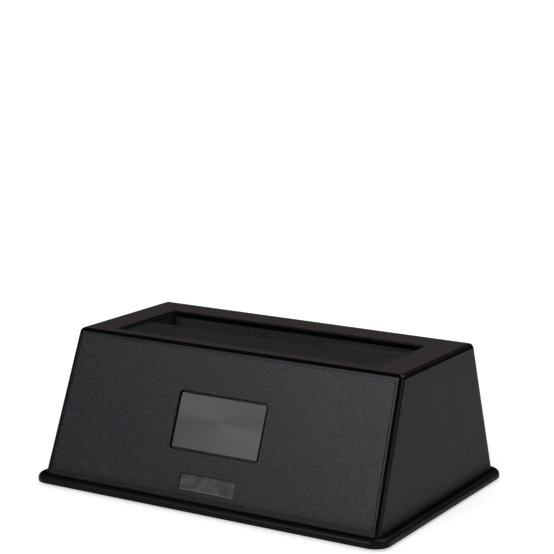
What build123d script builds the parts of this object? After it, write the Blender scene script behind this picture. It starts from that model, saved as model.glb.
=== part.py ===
from build123d import *
import os
from math import cos, hypot, pi, sin, sqrt

# A docking station for one bare drive: a sloped case on a wider base, with a slot in its top.
# +X is the right side seen from the front, +Y the back, +Z up. Millimetres.
# The origin is the middle of the footprint, on the surface that the feet stand on.

# Base and case, outside
flange_height = 3.0
flange_corner = 6.0
flange_round = 2.0
flange_side_ledge = 3.2  # flange's edge out from the foot of the case
flange_front_ledge = 3.55
front_lean = 18.95  # how far each wall leans in between its foot and the top face
rear_lean = 17.15
side_lean = 1.7
case_seat = 0.5  # the case stands this deep in the base
case_gap = 0.25  # open line round the foot of the case
wall = 2.2
edge_round = 2.0
overrun = 2.0  # how far a cutting shape runs past the face that it opens
pick_reach = 0.05  # an edge this close to a place is the one that lies there

# Rubber feet
foot_proud = 1.0
foot_sunk = 0.8
foot_radius = 5.0
foot_inset_x = 14.5
foot_inset_y = 12.4
foot_gap = 0.1
foot_round = 0.4

# Drives that the bay takes
drive_width = 101.6
drive_thickness = 26.1
small_drive_width = 69.85
small_drive_thickness = 12.5
drive_sunk = 31.6  # a seated drive goes this far below the top face
key_from_edge = 30.1  # connector key to the side edge that both drive sizes share
connector_from_back = 3.5  # connector's middle to the drive's board side
drive_clearance = 0.3

# Bay and the frame that lines it
rail_depth = 1.6
flap_room = 8.2  # in front of a seated drive, where the open flap hangs
bay_front_land = 6.1  # top face in front of the slot
bay_rear_land = 14.1
bay_wall = 1.6
bay_room = 11.0  # from the board up to the frame
bay_floor_thickness = 1.8
slot_rim_round = 0.5
back_rib_depth = 2.8
back_rib_width = 2.0
back_rib_drop = 16.4  # top of the ribs below the top face
back_rib_shares = (-0.46, -0.16, 0.16, 0.46)  # places across the bay
corner_rail_drop = 8.2
corner_rail_length = 7.3
rail_lead_in = 1.2
frame_boss_radius = 2.8
frame_boss_length = 8.0
frame_boss_offset = 4.0  # boss middle out from the frame's wall
frame_boss_share = 0.33  # places across the bay of the two rear bosses
frame_tab_thickness = 2.0
frame_tab_radius = 3.6
frame_tab_gap = 1.5  # from a side tab to the case's wall, at the top

# Flap over the bay
flap_thickness = 1.8
flap_drop = 1.2
flap_end_gap = 0.5
flap_front_gap = 0.25
flap_slot_gap = 0.8  # flap's edge to a small drive
flap_step_length = 8.0
flap_edge_chamfer = 0.6
barrel_radius = 1.7
barrel_bite = 0.5  # barrel's height inside the plate
barrel_gap = 0.5  # barrel to the bay's front wall
hinge_pin_radius = 1.0
hinge_clearance = 0.06
pin_fit_clearance = 0.05

# Torsion springs of the flap
flap_wire_radius = 0.25
flap_coil_radius = 1.7
flap_coil_turns = 4
flap_coil_pitch = 0.98
flap_spring_gap = 6.4
flap_spring_share = 0.31  # places across the bay
flap_leg_back = 8.0
flap_leg_down = 5.0
leg_groove_width = 1.6
leg_groove_clearance = 0.1
coil_pocket_clearance = 0.35  # round each spring's coil, inside the flap

# Front face: textured field inside a fine groove, badge and indicator window
field_strip = 0.25  # plain strip between the rounded edges and the groove
field_foot_margin = 1.2
field_corner = 0.6
field_groove_width = 0.35
field_groove_depth = 0.3
badge_width = 34.4
badge_height = 19.3
badge_corner = 0.7
badge_gap = 0.6
badge_recess = 1.1
badge_rim_round = 0.2
badge_thickness = 0.7
badge_rise = 26.9  # badge's middle up the slope from the flange
badge_bevel = 0.15
window_width = 22.0
window_height = 5.5
window_rise = 6.1
window_recess = 0.15
window_fit = 0.2
window_bevel = 0.2
window_flange = 1.2
window_flange_thickness = 0.8

# Rear port recess
port_recess_end = 9.5  # beside the power inlet
port_recess_top_depth = 1.1
port_recess_lift = 2.0
port_recess_headroom = 3.1  # above the data port
port_recess_corner = 1.5
port_rim_round = 0.4

# Screws of the case
cover_screw_inset_y = 6.8  # in from the top face's outline
post_radius = 3.4
post_gap = 1.3  # from a post to the bay frame
base_boss_radius = 5.0
base_boss_height = 2.0
cover_head_radius = 2.8
cover_head_height = 2.0
cover_head_sunk = 0.5
cover_shank_radius = 1.35
cover_screw_reach = 6.0
screw_fit = 0.05
screw_hole_clearance = 0.35
head_clearance = 0.3
cross_length_share = 1.2  # cross recess, as a share of the head's radius
cross_width_share = 0.26
cross_depth_share = 0.6  # as a share of the head's height

# Screws of the bay frame
frame_head_radius = 2.1
frame_head_height = 1.5
frame_shank_radius = 1.1
frame_screw_reach = 5.0

# Base plate details
lug_length = 14.0
lug_thickness = 1.6
lug_height = 4.0
lug_clearance = 0.2
lug_share = 0.3  # places along the front and rear walls
vent_length = 20.0
vent_width = 2.0
vent_pitch = 4.0
vent_count = 7
vent_group_share = 0.17  # middle of each vent group across the base

# Circuit board
board_end = 13.5  # board's edge beside the power inlet
board_rear_gap = 0.6
board_thickness = 1.6
board_lift = 4.7
board_corner = 2.0
board_hole_inset = 4.2
board_post_radius = 2.8
board_head_radius = 2.2
board_head_height = 1.5
board_shank_radius = 1.1
board_screw_reach = 3.2

# Drive connector
receptacle_depth = 6.0
receptacle_above_floor = 5.4
receptacle_end = 1.6
receptacle_window_gap = 0.6
receptacle_lead_in = 0.5
contact_pitch = 1.27
signal_contacts = 7
power_contacts = 15
tongue_slot_depth = 5.0
tongue_slot_width = 1.7
tongue_slot_end = 1.2
tongue_hook_length = 1.2
tongue_hook_width = 2.6
key_wall = 1.2
contact_width = 0.7
contact_thickness = 0.3
contact_height = 4.2

# USB port
usb_x = -2.0
usb_width = 12.0
usb_height = 12.6
usb_depth = 17.0
usb_shell = 0.4
usb_proud = 0.2
port_hole_gap = 0.25
usb_lower_width = 8.5
usb_lower_height = 7.3
usb_upper_width = 6.0
usb_upper_height = 3.0
usb_cavity_lift = 1.0
usb_cavity_depth = 9.0
usb_tongue_width = 5.6
usb_tongue_height = 3.1
usb_upper_tongue_height = 1.0
usb_tongue_recess = 1.0
usb_contact_width = 0.8
usb_contact_thickness = 0.15
usb_contact_length = 6.0
usb_lower_contacts = 2
usb_upper_contacts = 5
usb_lower_pitch = 2.5
usb_upper_pitch = 1.0
usb_upper_contact_width = 0.5

# Power inlet
jack_x = -28.0
jack_width = 9.0
jack_height = 11.0
jack_depth = 14.2
jack_axis_lift = 6.5
jack_bore_radius = 3.15
jack_bore_depth = 9.5
jack_pin_radius = 1.0
jack_pin_recess = 0.9
jack_pin_root = 2.0

# Power switch and button
button_x = 27.0
switch_size = 8.5
switch_depth = 9.0
switch_face_back = 7.4  # switch face in from the port wall's outside
switch_well_depth = 5.0
plunger_size = 2.8
plunger_fit = 0.15
plunger_well = 3.4  # how deep the plunger stands in the switch
cap_radius = 4.0
cap_proud = 2.2
cap_hole_gap = 0.3
cap_flange = 1.0
cap_flange_thickness = 1.2
cap_stop_gap = 0.3
cap_socket = 1.6
cap_round = 0.6
button_travel = 1.8
symbol_radius = 1.7
symbol_line = 0.35
symbol_depth = 0.25
symbol_gap = 1.2
symbol_bar_low_share = 0.3
symbol_bar_high_share = 1.25
switch_wire_radius = 0.2
switch_coil_radius = 2.5
switch_coil_turns = 3
switch_seat_gap = 0.1

# Parts on the board, placed as shares of the board's half width and half depth
controller_size = 10.0
controller_height = 1.4
controller_standoff = 0.1
controller_place_shares = (0.25, -0.32)
lead_reach = 1.0
lead_width = 0.28
lead_thickness = 0.2
lead_pitch = 0.8
leads_per_side = 11
small_chip_length = 5.0
small_chip_width = 3.9
small_chip_height = 1.5
small_chip_place_shares = ((0.62, -0.42), (-0.38, -0.5), (-0.42, 0.48))
small_lead_count = 4
small_lead_pitch = 1.27
small_lead_width = 0.42
small_lead_reach = 0.9
crystal_length = 11.0
crystal_width = 4.6
crystal_height = 3.5
crystal_brim = 0.4
crystal_place_shares = (0.3, -0.75)
capacitor_radius = 3.15
capacitor_height = 7.7
capacitor_base_side = 6.6
capacitor_base_height = 1.0
capacitor_round = 0.5
capacitor_place_shares = ((0.8, -0.05), (0.8, 0.25), (-0.8, -0.25), (0.12, 0.32))
inductor_side = 6.8
inductor_height = 3.6
inductor_corner = 1.2
inductor_place_shares = ((-0.7, -0.62), (0.42, 0.25))
regulator_width = 6.6
regulator_length = 6.1
regulator_height = 2.3
regulator_place_shares = ((-0.12, -0.62), (0.62, 0.4))
passive_length = 2.0
passive_width = 1.25
passive_height = 0.8
passive_row_shares = ((-0.3, -0.16), (0.5, -0.62), (-0.1, -0.34))
passives_per_row = 6
passive_pitch = 2.4

# Indicator lights
led_width = 5.0
led_length = 6.0
led_height = 2.0
led_round = 0.4
led_spacing = 11.0
led_overhang = 4.0
led_gap = 0.7  # from a light to the window's flange
led_lead_size = 0.5
led_lead_spacing = 2.54
led_lead_run = 2.4

# Levels, from the feet up to the top that the seated drive stands out of
base_bottom_z = foot_proud
flange_top_z = base_bottom_z + flange_height
base_floor_z = flange_top_z - case_seat
board_bottom_z = base_floor_z + board_lift
board_top_z = board_bottom_z + board_thickness
bay_floor_z = board_top_z + bay_room + bay_floor_thickness
case_top_z = bay_floor_z + drive_sunk
case_ceiling_z = case_top_z - wall
case_height = case_top_z - flange_top_z
post_foot_z = base_floor_z + base_boss_height

# Outlines, from the drive out to the flange
bay_width = drive_width + 2 * (drive_clearance + rail_depth)
bay_depth = flap_room + drive_thickness + drive_clearance + back_rib_depth
bay_side_land = bay_wall + frame_boss_offset + frame_tab_radius + frame_tab_gap + wall
case_top_width = bay_width + 2 * bay_side_land
case_top_depth = bay_front_land + bay_depth + bay_rear_land
case_foot_width = case_top_width + 2 * side_lean
case_foot_depth = case_top_depth + front_lean + rear_lean
base_width = case_foot_width + 2 * flange_side_ledge
base_depth = case_foot_depth + 2 * flange_front_ledge

# Slopes of the case, as run over rise, and how much longer a wall is cut level than square
front_slope = front_lean / case_height
back_slope = rear_lean / case_height
side_slope = side_lean / case_height
front_stretch = hypot(1, front_slope)
back_stretch = hypot(1, back_slope)
side_stretch = hypot(1, side_slope)


def front_y(z):
    """Outside of the front wall at level z."""
    return -case_foot_depth / 2 + front_slope * (z - flange_top_z)


def back_y(z):
    """Outside of the rear wall at level z."""
    return case_foot_depth / 2 - back_slope * (z - flange_top_z)


def side_x(z):
    """Outside of the right wall at level z."""
    return case_foot_width / 2 - side_slope * (z - flange_top_z)


# The front face, with its origin at the middle of its foot and its own y up the slope
front_face = Plane(
    origin=(0, -case_foot_depth / 2, flange_top_z), x_dir=(1, 0, 0), z_dir=(0, -1, front_slope)
)
front_length = case_height * front_stretch
front_lean_sine = front_slope / front_stretch
field_side_margin = edge_round + field_strip
field_top_margin = edge_round * sqrt((1 - front_lean_sine) / (1 + front_lean_sine)) + field_strip
front_axis = Axis(front_face.origin, front_face.z_dir)

# Bay, from the top face's front edge
bay_front_y = front_y(case_top_z) + bay_front_land
bay_back_y = bay_front_y + bay_depth
bay_middle_y = (bay_front_y + bay_back_y) / 2
drive_back_y = bay_back_y - back_rib_depth - drive_clearance
drive_edge_x = -drive_width / 2
key_x = drive_edge_x + key_from_edge
connector_y = drive_back_y - connector_from_back
small_slot_front_y = drive_back_y - small_drive_thickness - flap_slot_gap
small_slot_end_x = drive_edge_x + small_drive_width + flap_slot_gap
frame_half = bay_width / 2 + bay_wall
frame_back_y = bay_back_y + bay_wall

# Flap and hinge
flap_half = bay_width / 2 - flap_end_gap
flap_top_z = case_top_z - flap_drop
flap_under_z = flap_top_z - flap_thickness
flap_front_y = bay_front_y + flap_front_gap
flap_step_y = small_slot_front_y + flap_step_length
hinge_y = bay_front_y + barrel_gap + barrel_radius
hinge_z = flap_under_z + barrel_bite - barrel_radius
flap_spring_x = bay_width * flap_spring_share

# Rear wall with the ports
port_recess_width = 2 * (jack_width / 2 - jack_x + port_recess_end)
port_low_z = flange_top_z + port_recess_lift
port_high_z = board_top_z + usb_height + port_recess_headroom
port_recess_height = port_high_z - port_low_z
port_wall_y = back_y(port_high_z) - port_recess_top_depth
port_inner_y = port_wall_y - wall
usb_face_y = port_wall_y + usb_proud
usb_middle_z = board_top_z + usb_height / 2
jack_axis_z = board_top_z + jack_axis_lift
switch_face_y = port_wall_y - switch_face_back
switch_axis_z = board_top_z + switch_size / 2
cap_face_y = port_wall_y + cap_proud
cap_shoulder_y = port_inner_y - cap_stop_gap
cap_back_y = cap_shoulder_y - cap_flange_thickness

# Board
led_front_y = front_y(board_top_z + led_height) + (wall + window_flange_thickness) * front_stretch + led_gap
board_front_y = led_front_y + led_overhang
board_back_y = port_inner_y - board_rear_gap
board_middle_y = (board_front_y + board_back_y) / 2
board_half = jack_width / 2 - jack_x + board_end
board_half_depth = (board_back_y - board_front_y) / 2
board_hole_spots = [
    (side * (board_half - board_hole_inset), y)
    for side in (-1, 1)
    for y in (board_front_y + board_hole_inset, board_back_y - board_hole_inset)
]

# Screw places
cover_screw_x = frame_half + post_gap + post_radius
cover_screw_y = case_top_depth / 2 - cover_screw_inset_y
cover_screw_spots = [(x, y) for x in (-cover_screw_x, cover_screw_x) for y in (-cover_screw_y, cover_screw_y)]
frame_boss_spots = [
    (-frame_half - frame_boss_offset, 0),
    (frame_half + frame_boss_offset, 0),
    (-bay_width * frame_boss_share, frame_back_y + frame_boss_offset),
    (bay_width * frame_boss_share, frame_back_y + frame_boss_offset),
]
frame_tab_top_z = case_ceiling_z - frame_boss_length
frame_tab_z = frame_tab_top_z - frame_tab_thickness


def on_board(shares):
    """A place on the board from its shares of the board's half width and half depth."""
    return (shares[0] * board_half, board_middle_y + shares[1] * board_half_depth)


def case_shape(low, high, inset):
    """The case's sloped block between two levels, its walls moved in square by inset."""
    with BuildPart() as block:
        for level in (low, high):
            front = front_y(level) + inset * front_stretch
            back = back_y(level) - inset * back_stretch
            half = side_x(level) - inset * side_stretch
            with BuildSketch(Plane.XY.offset(level)):
                with Locations((0, (front + back) / 2)):
                    Rectangle(2 * half, back - front)
        loft(ruled=True)
    return block.part


def port_wall_block(outside):
    """The lining of the rear port recess, trimmed to the outside of the case."""
    with BuildPart() as block:
        with BuildSketch(Plane.XZ.offset(-port_inner_y)):
            with Locations((0, (base_floor_z + port_high_z + wall) / 2)):
                Rectangle(port_recess_width + 2 * wall, port_high_z + wall - base_floor_z)
        extrude(amount=-case_foot_depth / 2)
        add(outside, mode=Mode.INTERSECT)
    return block.part


def on_badge_rim(edge):
    """True for the edges of the badge recess that lie in the front face."""
    spot = front_face.to_local_coords(edge.center())
    across = abs(spot.X) < badge_width / 2 + badge_gap + pick_reach
    along = abs(spot.Y - badge_rise) < badge_height / 2 + badge_gap + pick_reach
    return abs(spot.Z) < pick_reach and across and along


def on_port_rim(edge):
    """True for the edges of the port recess that lie in the sloped rear face."""
    spot = edge.center()
    across = abs(spot.X) < port_recess_width / 2 + pick_reach
    along = port_low_z - pick_reach < spot.Z < port_high_z + pick_reach
    return abs(spot.Y - back_y(spot.Z)) < pick_reach * 2 and across and along


def make_upper_housing():
    """The case: sloped walls and top, with the slot, the front recesses, the rear recess and its posts."""
    outside = case_shape(base_floor_z, case_top_z, 0)
    inside = case_shape(base_floor_z - overrun, case_ceiling_z, wall)
    with BuildPart() as rounded:
        add(outside)
        fillet(rounded.edges().filter_by(lambda e: e.center().Z > base_floor_z + edge_round), edge_round)
    port_block = port_wall_block(outside)
    with BuildPart() as upper_housing:
        add(rounded.part)
        add(inside, mode=Mode.SUBTRACT)
        add(port_block)

        # Posts for the cover screws and bosses for the bay frame
        with BuildSketch(Plane.XY.offset(post_foot_z)):
            with Locations(*cover_screw_spots):
                Circle(post_radius)
        extrude(amount=case_ceiling_z + wall / 2 - post_foot_z)
        with BuildSketch(Plane.XY.offset(post_foot_z)):
            with Locations(*cover_screw_spots):
                Circle(cover_shank_radius + screw_fit)
        extrude(amount=cover_screw_reach + overrun, mode=Mode.SUBTRACT)
        with BuildSketch(Plane.XY.offset(frame_tab_top_z)):
            with Locations(*frame_boss_spots):
                Circle(frame_boss_radius)
        extrude(amount=frame_boss_length + wall / 2)
        with BuildSketch(Plane.XY.offset(frame_tab_top_z)):
            with Locations(*frame_boss_spots):
                Circle(frame_shank_radius + screw_fit)
        extrude(amount=frame_screw_reach + overrun / 2, mode=Mode.SUBTRACT)

        # Slot for the drive
        with BuildSketch(Plane.XY.offset(case_ceiling_z)):
            with Locations((0, bay_middle_y)):
                Rectangle(bay_width, bay_depth)
        extrude(amount=wall, mode=Mode.SUBTRACT)
        top_face = upper_housing.faces().filter_by(Axis.Z).sort_by(Axis.Z)[-1]
        fillet(top_face.inner_wires()[0].edges(), slot_rim_round)

        # Fine groove round the textured field of the front
        foot_half = side_x(flange_top_z) - field_side_margin
        head_half = side_x(case_top_z) - field_side_margin
        with BuildSketch(front_face) as groove:
            with BuildLine():
                Polyline(
                    (-foot_half, field_foot_margin),
                    (foot_half, field_foot_margin),
                    (head_half, front_length - field_top_margin),
                    (-head_half, front_length - field_top_margin),
                    close=True,
                )
            make_face()
            fillet(groove.vertices(), field_corner)
            offset(amount=-field_groove_width, mode=Mode.SUBTRACT)
        extrude(amount=-field_groove_depth, mode=Mode.SUBTRACT)

        # Badge recess and window opening
        with BuildSketch(front_face):
            with Locations((0, badge_rise)):
                RectangleRounded(
                    badge_width + 2 * badge_gap, badge_height + 2 * badge_gap, badge_corner + badge_gap
                )
        extrude(amount=-badge_recess, mode=Mode.SUBTRACT)
        fillet(upper_housing.edges().filter_by(on_badge_rim), badge_rim_round)
        with BuildSketch(front_face):
            with Locations((0, window_rise)):
                Rectangle(window_width + 2 * window_fit, window_height + 2 * window_fit)
        extrude(amount=-wall - overrun, mode=Mode.SUBTRACT)

        # Rear recess and the holes for the ports and the button
        with BuildSketch(Plane.XZ.offset(-port_wall_y)):
            with Locations((0, (port_low_z + port_high_z) / 2)):
                RectangleRounded(port_recess_width, port_recess_height, port_recess_corner)
        extrude(amount=-case_foot_depth / 2, mode=Mode.SUBTRACT)
        fillet(upper_housing.edges().filter_by(on_port_rim), port_rim_round)
        with BuildSketch(Plane.XZ.offset(-port_wall_y)):
            with Locations((usb_x, usb_middle_z)):
                Rectangle(usb_width + 2 * port_hole_gap, usb_height + 2 * port_hole_gap)
            with Locations((jack_x, board_top_z + jack_height / 2)):
                Rectangle(jack_width + 2 * port_hole_gap, jack_height + 2 * port_hole_gap)
            with Locations((button_x, switch_axis_z)):
                Circle(cap_radius + cap_hole_gap)
        extrude(amount=wall, mode=Mode.SUBTRACT)
    upper_housing.part.label = "upper_housing"
    return upper_housing.part


def make_base_plate():
    """The base: a plate with a rounded flange, bosses, board posts, locating lugs and vents."""
    foot_x = base_width / 2 - foot_inset_x
    foot_y = base_depth / 2 - foot_inset_y
    lug_top_z = base_floor_z + lug_height
    lug_front_y = front_y(lug_top_z) + wall * front_stretch + lug_clearance + lug_thickness / 2
    lug_back_y = back_y(lug_top_z) - wall * back_stretch - lug_clearance - lug_thickness / 2
    lug_side_x = side_x(lug_top_z) - wall * side_stretch - lug_clearance - lug_thickness / 2
    with BuildPart() as base_plate:
        with BuildSketch(Plane.XY.offset(base_bottom_z)):
            RectangleRounded(base_width, base_depth, flange_corner)
        extrude(amount=flange_height)
        fillet(base_plate.faces().sort_by(Axis.Z)[-1].edges(), flange_round)
        with BuildSketch(Plane.XY.offset(base_floor_z)):
            Rectangle(2 * (side_x(base_floor_z) + case_gap), 2 * (back_y(base_floor_z) + case_gap))
        extrude(amount=case_seat + overrun, mode=Mode.SUBTRACT)

        # Screw bosses, board posts and lugs
        with BuildSketch(Plane.XY.offset(base_bottom_z)):
            with Locations(*cover_screw_spots):
                Circle(base_boss_radius)
        extrude(amount=post_foot_z - base_bottom_z)
        with BuildSketch(Plane.XY.offset(base_floor_z)):
            with Locations(*board_hole_spots):
                Circle(board_post_radius)
        extrude(amount=board_lift)
        with BuildSketch(Plane.XY.offset(base_floor_z)):
            with Locations((-base_width * lug_share, lug_front_y), (base_width * lug_share, lug_front_y)):
                Rectangle(lug_length, lug_thickness)
            with Locations((-lug_side_x, 0), (lug_side_x, 0)):
                Rectangle(lug_thickness, lug_length)
        extrude(amount=lug_height)
        rear_lug_x = port_recess_width / 2 + wall + lug_clearance + lug_length / 4
        with BuildSketch(Plane.XY.offset(base_floor_z)):
            with Locations((-rear_lug_x, lug_back_y), (rear_lug_x, lug_back_y)):
                Rectangle(lug_length / 2, lug_thickness)
        extrude(amount=lug_height)

        # Holes
        with BuildSketch(Plane.XY.offset(base_bottom_z)):
            with Locations(*cover_screw_spots):
                Circle(cover_head_radius + head_clearance)
        extrude(amount=cover_head_height + cover_head_sunk, mode=Mode.SUBTRACT)
        with BuildSketch(Plane.XY.offset(base_bottom_z)):
            with Locations(*cover_screw_spots):
                Circle(cover_shank_radius + screw_hole_clearance)
        extrude(amount=post_foot_z - base_bottom_z, mode=Mode.SUBTRACT)
        with BuildSketch(Plane.XY.offset(board_bottom_z)):
            with Locations(*board_hole_spots):
                Circle(board_shank_radius + screw_fit)
        extrude(amount=-board_screw_reach - screw_hole_clearance, mode=Mode.SUBTRACT)
        with BuildSketch(Plane.XY.offset(base_bottom_z)):
            with GridLocations(2 * foot_x, 2 * foot_y, 2, 2):
                Circle(foot_radius + foot_gap)
        extrude(amount=foot_sunk, mode=Mode.SUBTRACT)
        with BuildSketch(Plane.XY.offset(base_bottom_z)):
            for side in (-1, 1):
                with Locations((side * base_width * vent_group_share, 0)):
                    with GridLocations(vent_pitch, vent_length, vent_count, 1):
                        SlotOverall(vent_length, vent_width, rotation=90)
        extrude(amount=base_floor_z - base_bottom_z, mode=Mode.SUBTRACT)
    base_plate.part.label = "base_plate"
    return base_plate.part


def make_rubber_feet():
    """Four round rubber feet, let into the underside of the base."""
    with BuildPart() as rubber_feet:
        with BuildSketch(Plane.XY):
            with GridLocations(base_width - 2 * foot_inset_x, base_depth - 2 * foot_inset_y, 2, 2):
                Circle(foot_radius)
        extrude(amount=foot_proud + foot_sunk)
        fillet(rubber_feet.edges().group_by(Axis.Z)[0], foot_round)
    rubber_feet.part.label = "rubber_feet"
    return rubber_feet.part


def make_badge_plate():
    """The plain plate in the front recess."""
    with BuildPart() as badge_plate:
        with BuildSketch(front_face.offset(-badge_recess)):
            with Locations((0, badge_rise)):
                RectangleRounded(badge_width, badge_height, badge_corner)
        extrude(amount=badge_thickness)
        chamfer(badge_plate.faces().sort_by(front_axis)[-1].edges(), badge_bevel)
    badge_plate.part.label = "badge_plate"
    return badge_plate.part


def make_indicator_window():
    """The smoked window of the indicator lights, with a flange behind the wall."""
    with BuildPart() as indicator_window:
        with BuildSketch(front_face.offset(-wall)):
            with Locations((0, window_rise)):
                Rectangle(window_width, window_height)
        extrude(amount=wall - window_recess)
        chamfer(indicator_window.faces().sort_by(front_axis)[-1].edges(), window_bevel)
        with BuildSketch(front_face.offset(-wall)):
            with Locations((0, window_rise)):
                Rectangle(window_width + 2 * window_flange, window_height + 2 * window_flange)
        extrude(amount=-window_flange_thickness)
    indicator_window.part.label = "indicator_window"
    return indicator_window.part


def make_drive_bay_frame():
    """The open box under the slot that guides a drive down on to the connector."""
    frame_bottom_z = bay_floor_z - bay_floor_thickness
    rib_top_z = case_top_z - back_rib_drop
    rail_top_z = case_top_z - corner_rail_drop
    rib_spots = [(share * bay_width, bay_back_y - back_rib_depth / 2) for share in back_rib_shares]
    signal_end_x = key_x + key_wall / 2 + tongue_slot_span(signal_contacts) + receptacle_end
    power_end_x = key_x - key_wall / 2 - tongue_slot_span(power_contacts) - receptacle_end
    with BuildPart() as drive_bay_frame:
        with BuildSketch(Plane.XY.offset(frame_bottom_z)):
            with Locations((0, bay_middle_y)):
                Rectangle(2 * frame_half, bay_depth + 2 * bay_wall)
        extrude(amount=case_ceiling_z - frame_bottom_z)
        with BuildSketch(Plane.XY.offset(bay_floor_z)):
            with Locations((0, bay_middle_y)):
                Rectangle(bay_width, bay_depth)
        extrude(amount=case_ceiling_z - bay_floor_z, mode=Mode.SUBTRACT)

        # Ribs behind the drive, and rails in the two rear corners
        with BuildSketch(Plane.XY.offset(bay_floor_z)):
            with Locations(*rib_spots):
                Rectangle(back_rib_width, back_rib_depth)
        extrude(amount=rib_top_z - bay_floor_z)
        rib_tops = drive_bay_frame.edges().filter_by(Axis.X).filter_by(
            lambda e: abs(e.center().Z - rib_top_z) < pick_reach
            and abs(e.center().Y - bay_back_y + back_rib_depth) < pick_reach
        )
        chamfer(rib_tops, rail_lead_in)
        rail_y = bay_back_y - corner_rail_length / 2
        rail_x = bay_width / 2 - rail_depth / 2
        with BuildSketch(Plane.XY.offset(bay_floor_z)):
            with Locations((-rail_x, rail_y), (rail_x, rail_y)):
                Rectangle(rail_depth, corner_rail_length)
        extrude(amount=rail_top_z - bay_floor_z)
        rail_tops = drive_bay_frame.edges().filter_by(Axis.Y).filter_by(
            lambda e: abs(e.center().Z - rail_top_z) < pick_reach
            and abs(abs(e.center().X) - bay_width / 2 + rail_depth) < pick_reach
        )
        chamfer(rail_tops, rail_lead_in)

        # Tabs for the frame's screws
        with BuildSketch(Plane.XY.offset(frame_tab_z)):
            with Locations(*frame_boss_spots):
                Circle(frame_tab_radius)
            for side in (-1, 1):
                with Locations((side * (frame_half + frame_boss_offset / 2), 0)):
                    Rectangle(frame_boss_offset, 2 * frame_tab_radius)
                with Locations((side * bay_width * frame_boss_share, frame_back_y + frame_boss_offset / 2)):
                    Rectangle(2 * frame_tab_radius, frame_boss_offset)
        extrude(amount=frame_tab_thickness)
        with BuildSketch(Plane.XY.offset(frame_tab_z)):
            with Locations(*frame_boss_spots):
                Circle(frame_shank_radius + screw_hole_clearance)
        extrude(amount=frame_tab_thickness, mode=Mode.SUBTRACT)

        # Window for the connector, and the holes of the hinge pin
        with BuildSketch(Plane.XY.offset(frame_bottom_z)):
            with Locations(((signal_end_x + power_end_x) / 2, connector_y)):
                Rectangle(
                    signal_end_x - power_end_x + 2 * receptacle_window_gap,
                    receptacle_depth + 2 * receptacle_window_gap,
                )
        extrude(amount=bay_floor_thickness, mode=Mode.SUBTRACT)
        with BuildSketch(Plane.YZ):
            with Locations((hinge_y, hinge_z)):
                Circle(hinge_pin_radius + pin_fit_clearance)
        extrude(amount=frame_half, both=True, mode=Mode.SUBTRACT)
    drive_bay_frame.part.label = "drive_bay_frame"
    return drive_bay_frame.part


def make_bay_flap():
    """The sprung flap that closes the bay, stepped beside the small drive's slot."""
    coil_reach = flap_coil_radius + flap_wire_radius
    pocket_back_y = hinge_y + coil_reach + coil_pocket_clearance
    pocket_top_z = hinge_z + coil_reach + leg_groove_clearance
    groove_back_y = hinge_y + flap_leg_back + leg_groove_clearance
    with BuildPart() as bay_flap:
        with BuildSketch(Plane.XY.offset(flap_under_z)):
            with BuildLine():
                Polyline(
                    (-flap_half, flap_front_y),
                    (flap_half, flap_front_y),
                    (flap_half, flap_step_y),
                    (small_slot_end_x, flap_step_y),
                    (small_slot_end_x, small_slot_front_y),
                    (-flap_half, small_slot_front_y),
                    close=True,
                )
            make_face()
        extrude(amount=flap_thickness)
        top_edges = bay_flap.edges().group_by(Axis.Z)[-1].filter_by(Axis.X)
        chamfer(top_edges.filter_by(lambda e: e.center().Y > hinge_y), flap_edge_chamfer)
        with BuildSketch(Plane.YZ.offset(-flap_half)):
            with Locations((hinge_y, hinge_z)):
                Circle(barrel_radius)
        extrude(amount=2 * flap_half)
        with BuildSketch(Plane.XY.offset(pocket_top_z)):
            for side in (-1, 1):
                with Locations((side * flap_spring_x, (pocket_back_y + bay_front_y) / 2)):
                    Rectangle(flap_spring_gap, pocket_back_y - bay_front_y)
        extrude(amount=hinge_z - barrel_radius - pocket_top_z, mode=Mode.SUBTRACT)
        with BuildSketch(Plane.YZ.offset(-flap_half)):
            with Locations((hinge_y, hinge_z)):
                Circle(hinge_pin_radius + hinge_clearance)
        extrude(amount=2 * flap_half, mode=Mode.SUBTRACT)
        with BuildSketch(Plane.XY.offset(pocket_top_z)):
            for side in (-1, 1):
                with Locations((side * leg_x(), (hinge_y + groove_back_y) / 2)):
                    Rectangle(leg_groove_width, groove_back_y - hinge_y)
        extrude(amount=flap_under_z - pocket_top_z, mode=Mode.SUBTRACT)
    bay_flap.part.label = "bay_flap"
    return bay_flap.part


def make_flap_hinge_pin():
    """The steel rod that the flap turns on."""
    with BuildPart() as flap_hinge_pin:
        with BuildSketch(Plane.YZ):
            with Locations((hinge_y, hinge_z)):
                Circle(hinge_pin_radius)
        extrude(amount=frame_half, both=True)
    flap_hinge_pin.part.label = "flap_hinge_pin"
    return flap_hinge_pin.part


def biarc(start, start_way, end, end_way):
    """Two tangent arcs from start to end, leaving and arriving along the two directions."""
    span = end - start
    ways = start_way + end_way
    bend = 2 * (1 - start_way.dot(end_way))
    along = span.dot(ways)
    reach = (sqrt(along * along + bend * span.dot(span)) - along) / bend
    first = start + start_way * reach
    second = end - end_way * reach
    middle = (first + second) * 0.5
    middle_way = (second - first).normalized()
    TangentArc(start, middle, tangent=start_way)
    TangentArc(middle, end, tangent=middle_way)


def coil_marks(centre, axis_way, up_way, radius, pitch, start_angle, quarters, hand):
    """Points and directions of a helix about an axis, one for each quarter turn."""
    across = up_way.cross(axis_way) * hand
    marks = []
    for step in range(quarters + 1):
        turned = start_angle + step * pi / 2
        place = centre + across * (radius * cos(turned)) + up_way * (radius * sin(turned))
        place = place + axis_way * (pitch * step / 4)
        flat = (up_way * cos(turned) - across * sin(turned)).normalized()
        climb = axis_way * (pitch / (2 * pi * radius))
        ends = step in (0, quarters)
        marks.append((place, flat if ends else (flat + climb).normalized()))
    return marks


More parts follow.
